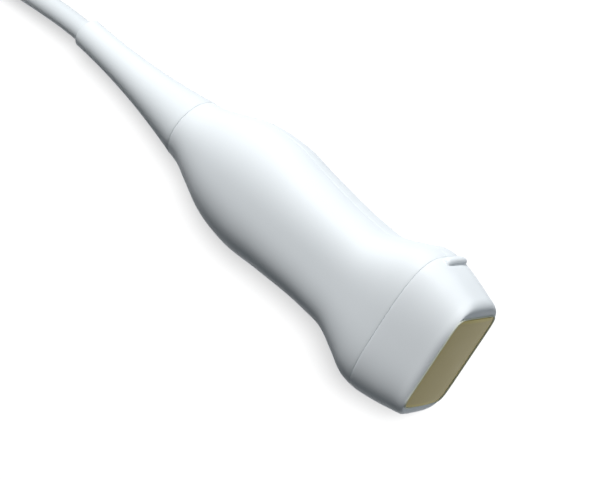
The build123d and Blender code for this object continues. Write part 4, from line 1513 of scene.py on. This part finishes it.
@dataclass
class Studio:
    """Pale floor, soft light from the upper right of the picture, and the photograph's camera."""

    target: Point = (40.0, 0.0, 0.0)
    floor_size: float = 8.0
    floor_bounce: Colour = (0.13, 0.155, 0.18)
    floor_albedo: float = 0.42
    floor_glow: float = 0.6
    floor_strength: float = 4.6
    floor_lamp_angle: float = 19.0
    floor_lamp_from: Point = (0.55, 0.65, 1.0)
    key_power: float = 9.5
    key_size: float = 0.3
    key_from: Point = (-0.22, 0.80, 0.50)
    key_distance: float = 0.9
    front_power: float = 1.42
    front_size: float = 0.6
    front_from: Point = (1.0, 0.15, 0.12)
    fill_power: float = 0.3
    fill_size: float = 0.8
    fill_from: Point = (-0.35, -1.0, 0.22)
    coil_power: float = 3.4
    coil_size: float = 0.08
    coil_cone: float = 24.0
    coil_blend: float = 0.7
    coil_target: Point = (-152.0, 5.0, 6.0)
    coil_from: Point = (-0.25, -0.85, 0.45)
    coil_distance: float = 0.55
    world_level: float = 0.045
    world_tint: Colour = (0.86, 0.98, 1.08)
    camera_place: Point = (255.67, 181.45, 412.44)
    camera_right: Point = (0.6686, 0.4865, -0.5623)
    camera_up: Point = (-0.6094, 0.7919, -0.0394)
    camera_back: Point = (0.4261, 0.3690, 0.8260)
    lens: float = 120.36
    sensor: float = 36.0

    @staticmethod
    def seen(sheet: NodeSheet) -> bpy.types.NodeSocket:
        """A mask of the rays that show the background: the camera's, and those off metal or through glass.

        Args:
            sheet: Where nodes are added.

        Returns:
            The mask.
        """
        rays = sheet.add("ShaderNodeLightPath")
        seen = sheet.math("MAXIMUM", rays.outputs["Is Camera Ray"], rays.outputs["Is Transmission Ray"])
        return sheet.math("MAXIMUM", seen, rays.outputs["Is Glossy Ray"])

    def floor(self) -> bpy.types.Object:
        """The floor: white to the camera with the object's shadow on it, and dim to the object.

        Returns:
            The floor.
        """
        mesh = bmesh.new()
        bmesh.ops.create_grid(mesh, x_segments=2, y_segments=2, size=self.floor_size / 2)
        floor = new_object("floor", as_data(mesh, "floor"))
        material = bpy.data.materials.new("floor")
        sheet = blank_sheet(material)
        seen = self.seen(sheet)
        diffuse = sheet.add("ShaderNodeBsdfDiffuse")
        pale = (self.floor_albedo,) * 3
        sheet.link(sheet.mix(seen, self.floor_bounce, pale), diffuse.inputs["Color"])
        glow = sheet.add("ShaderNodeEmission")
        glow.inputs["Color"].default_value = (*WHITE, 1.0)
        sheet.link(sheet.math("MULTIPLY", seen, self.floor_glow), glow.inputs["Strength"])
        both = sheet.add("ShaderNodeAddShader")
        sheet.link(diffuse.outputs[0], both.inputs[0])
        sheet.link(glow.outputs[0], both.inputs[1])
        output = sheet.add("ShaderNodeOutputMaterial")
        sheet.link(both.outputs[0], output.inputs["Surface"])
        floor.data.materials.append(material)
        return floor

    def world(self) -> None:
        """A dim even sky that looks white."""
        world = bpy.data.worlds.new("studio")
        sheet = blank_sheet(world)
        sky = sheet.add("ShaderNodeBackground")
        seen = self.seen(sheet)
        sheet.link(sheet.mix(seen, self.world_tint, WHITE), sky.inputs["Color"])
        sheet.link(sheet.remap(seen, UNIT, (self.world_level, 1.0)), sky.inputs["Strength"])
        output = sheet.add("ShaderNodeOutputWorld")
        sheet.link(sky.outputs[0], output.inputs["Surface"])
        bpy.context.scene.world = world

    @staticmethod
    def aim(light: bpy.types.Light, target: Vector, toward: Point, distance: float) -> bpy.types.Object:
        """Hangs a light away from a target and turns it to face it.

        Args:
            light: The light.
            target: What it faces.
            toward: The direction from the target to the light.
            distance: How far away it hangs, in metres.

        Returns:
            The hung lamp.
        """
        place = target + Vector(toward).normalized() * distance
        lamp = new_object(light.name, light)
        lamp.location = place
        lamp.rotation_euler = (target - place).to_track_quat("-Z", "Y").to_euler()
        lamp.visible_camera = False
        return lamp

    @staticmethod
    def panel_light(name: str, power: float, size: float) -> bpy.types.Light:
        """A square soft light.

        Args:
            name: The light's name.
            power: Its power in watts.
            size: Its side in metres.

        Returns:
            The light.
        """
        light = bpy.data.lights.new(name, "AREA")
        light.energy = power
        light.shape = "SQUARE"
        light.size = size
        return light

    def lights(self, floor: bpy.types.Object) -> None:
        """Hangs the key, weak lights for the lens, the far side and the hank, and a steep one for the floor.

        Args:
            floor: The floor.
        """
        probe = FRAME.point(*self.target)
        key = self.panel_light("key", self.key_power, self.key_size)
        front = self.panel_light("front", self.front_power, self.front_size)
        fill = self.panel_light("fill", self.fill_power, self.fill_size)
        coil = bpy.data.lights.new("coil", "SPOT")
        coil.energy = self.coil_power
        coil.shadow_soft_size = self.coil_size
        coil.spot_size = math.radians(self.coil_cone)
        coil.spot_blend = self.coil_blend
        on_object = [
            self.aim(key, probe, self.key_from, self.key_distance),
            self.aim(front, probe, self.front_from, self.key_distance),
            self.aim(fill, probe, self.fill_from, self.key_distance),
            self.aim(coil, FRAME.point(*self.coil_target), self.coil_from, self.coil_distance),
        ]
        below = bpy.data.lights.new("floor", "SUN")
        below.energy = self.floor_strength
        below.angle = math.radians(self.floor_lamp_angle)
        on_floor = self.aim(below, probe, self.floor_lamp_from, self.key_distance)
        for lamps, state in ((on_object, "EXCLUDE"), ([on_floor], "INCLUDE")):
            lit = bpy.data.collections.new(f"floor {state.lower()}")
            lit.objects.link(floor)
            lit.collection_objects[0].light_linking.link_state = state
            for lamp in lamps:
                lamp.light_linking.receiver_collection = lit

    def camera(self) -> None:
        """The photograph's camera."""
        data = bpy.data.cameras.new("photo")
        data.lens = self.lens
        data.sensor_width = self.sensor
        data.sensor_fit = "HORIZONTAL"
        camera = new_object("photo", data)
        turn = Matrix((self.camera_right, self.camera_up, self.camera_back)).transposed()
        camera.matrix_world = Matrix.Translation(FRAME.point(*self.camera_place)) @ turn.to_4x4()
        bpy.context.scene.camera = camera

    def build(self) -> None:
        """Sets up floor, light and camera."""
        floor = self.floor()
        self.world()
        self.lights(floor)
        self.camera()
        bpy.context.scene.view_settings.view_transform = "Standard"


def dress_hidden_nodes(bench: Bench) -> None:
    """Gives every CAD node that keeps its mesh the finish of its slot.

    Args:
        bench: Where pieces are dressed.
    """
    finishes = {finish.slot: finish for finish in HIDDEN_FINISHES}
    for part in frame["record"]["subparts"]:
        node = frame["nodes"][part["node"]]
        if part["material_slot"] in finishes:
            bench.dress(node, finishes[part["material_slot"]])


def main() -> None:
    """Builds every sub-assembly in order and reports each piece."""
    logging.basicConfig(level=logging.INFO, format="%(message)s")
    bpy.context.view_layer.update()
    bench = Bench()
    dress_hidden_nodes(bench)
    Handle().build(bench)
    nose = Nosepiece()
    nose.build(bench)
    Lens().build(bench, nose.front_x())
    Boot().build(bench)
    on_cable = [Strap().build(bench), *SystemConnector().build(bench)]
    on_cable += [frame["nodes"][name] for name in CABLE_END_NODES]
    Cable().build(bench, on_cable)
    Studio().build()


if __name__ == "__main__":
    main()
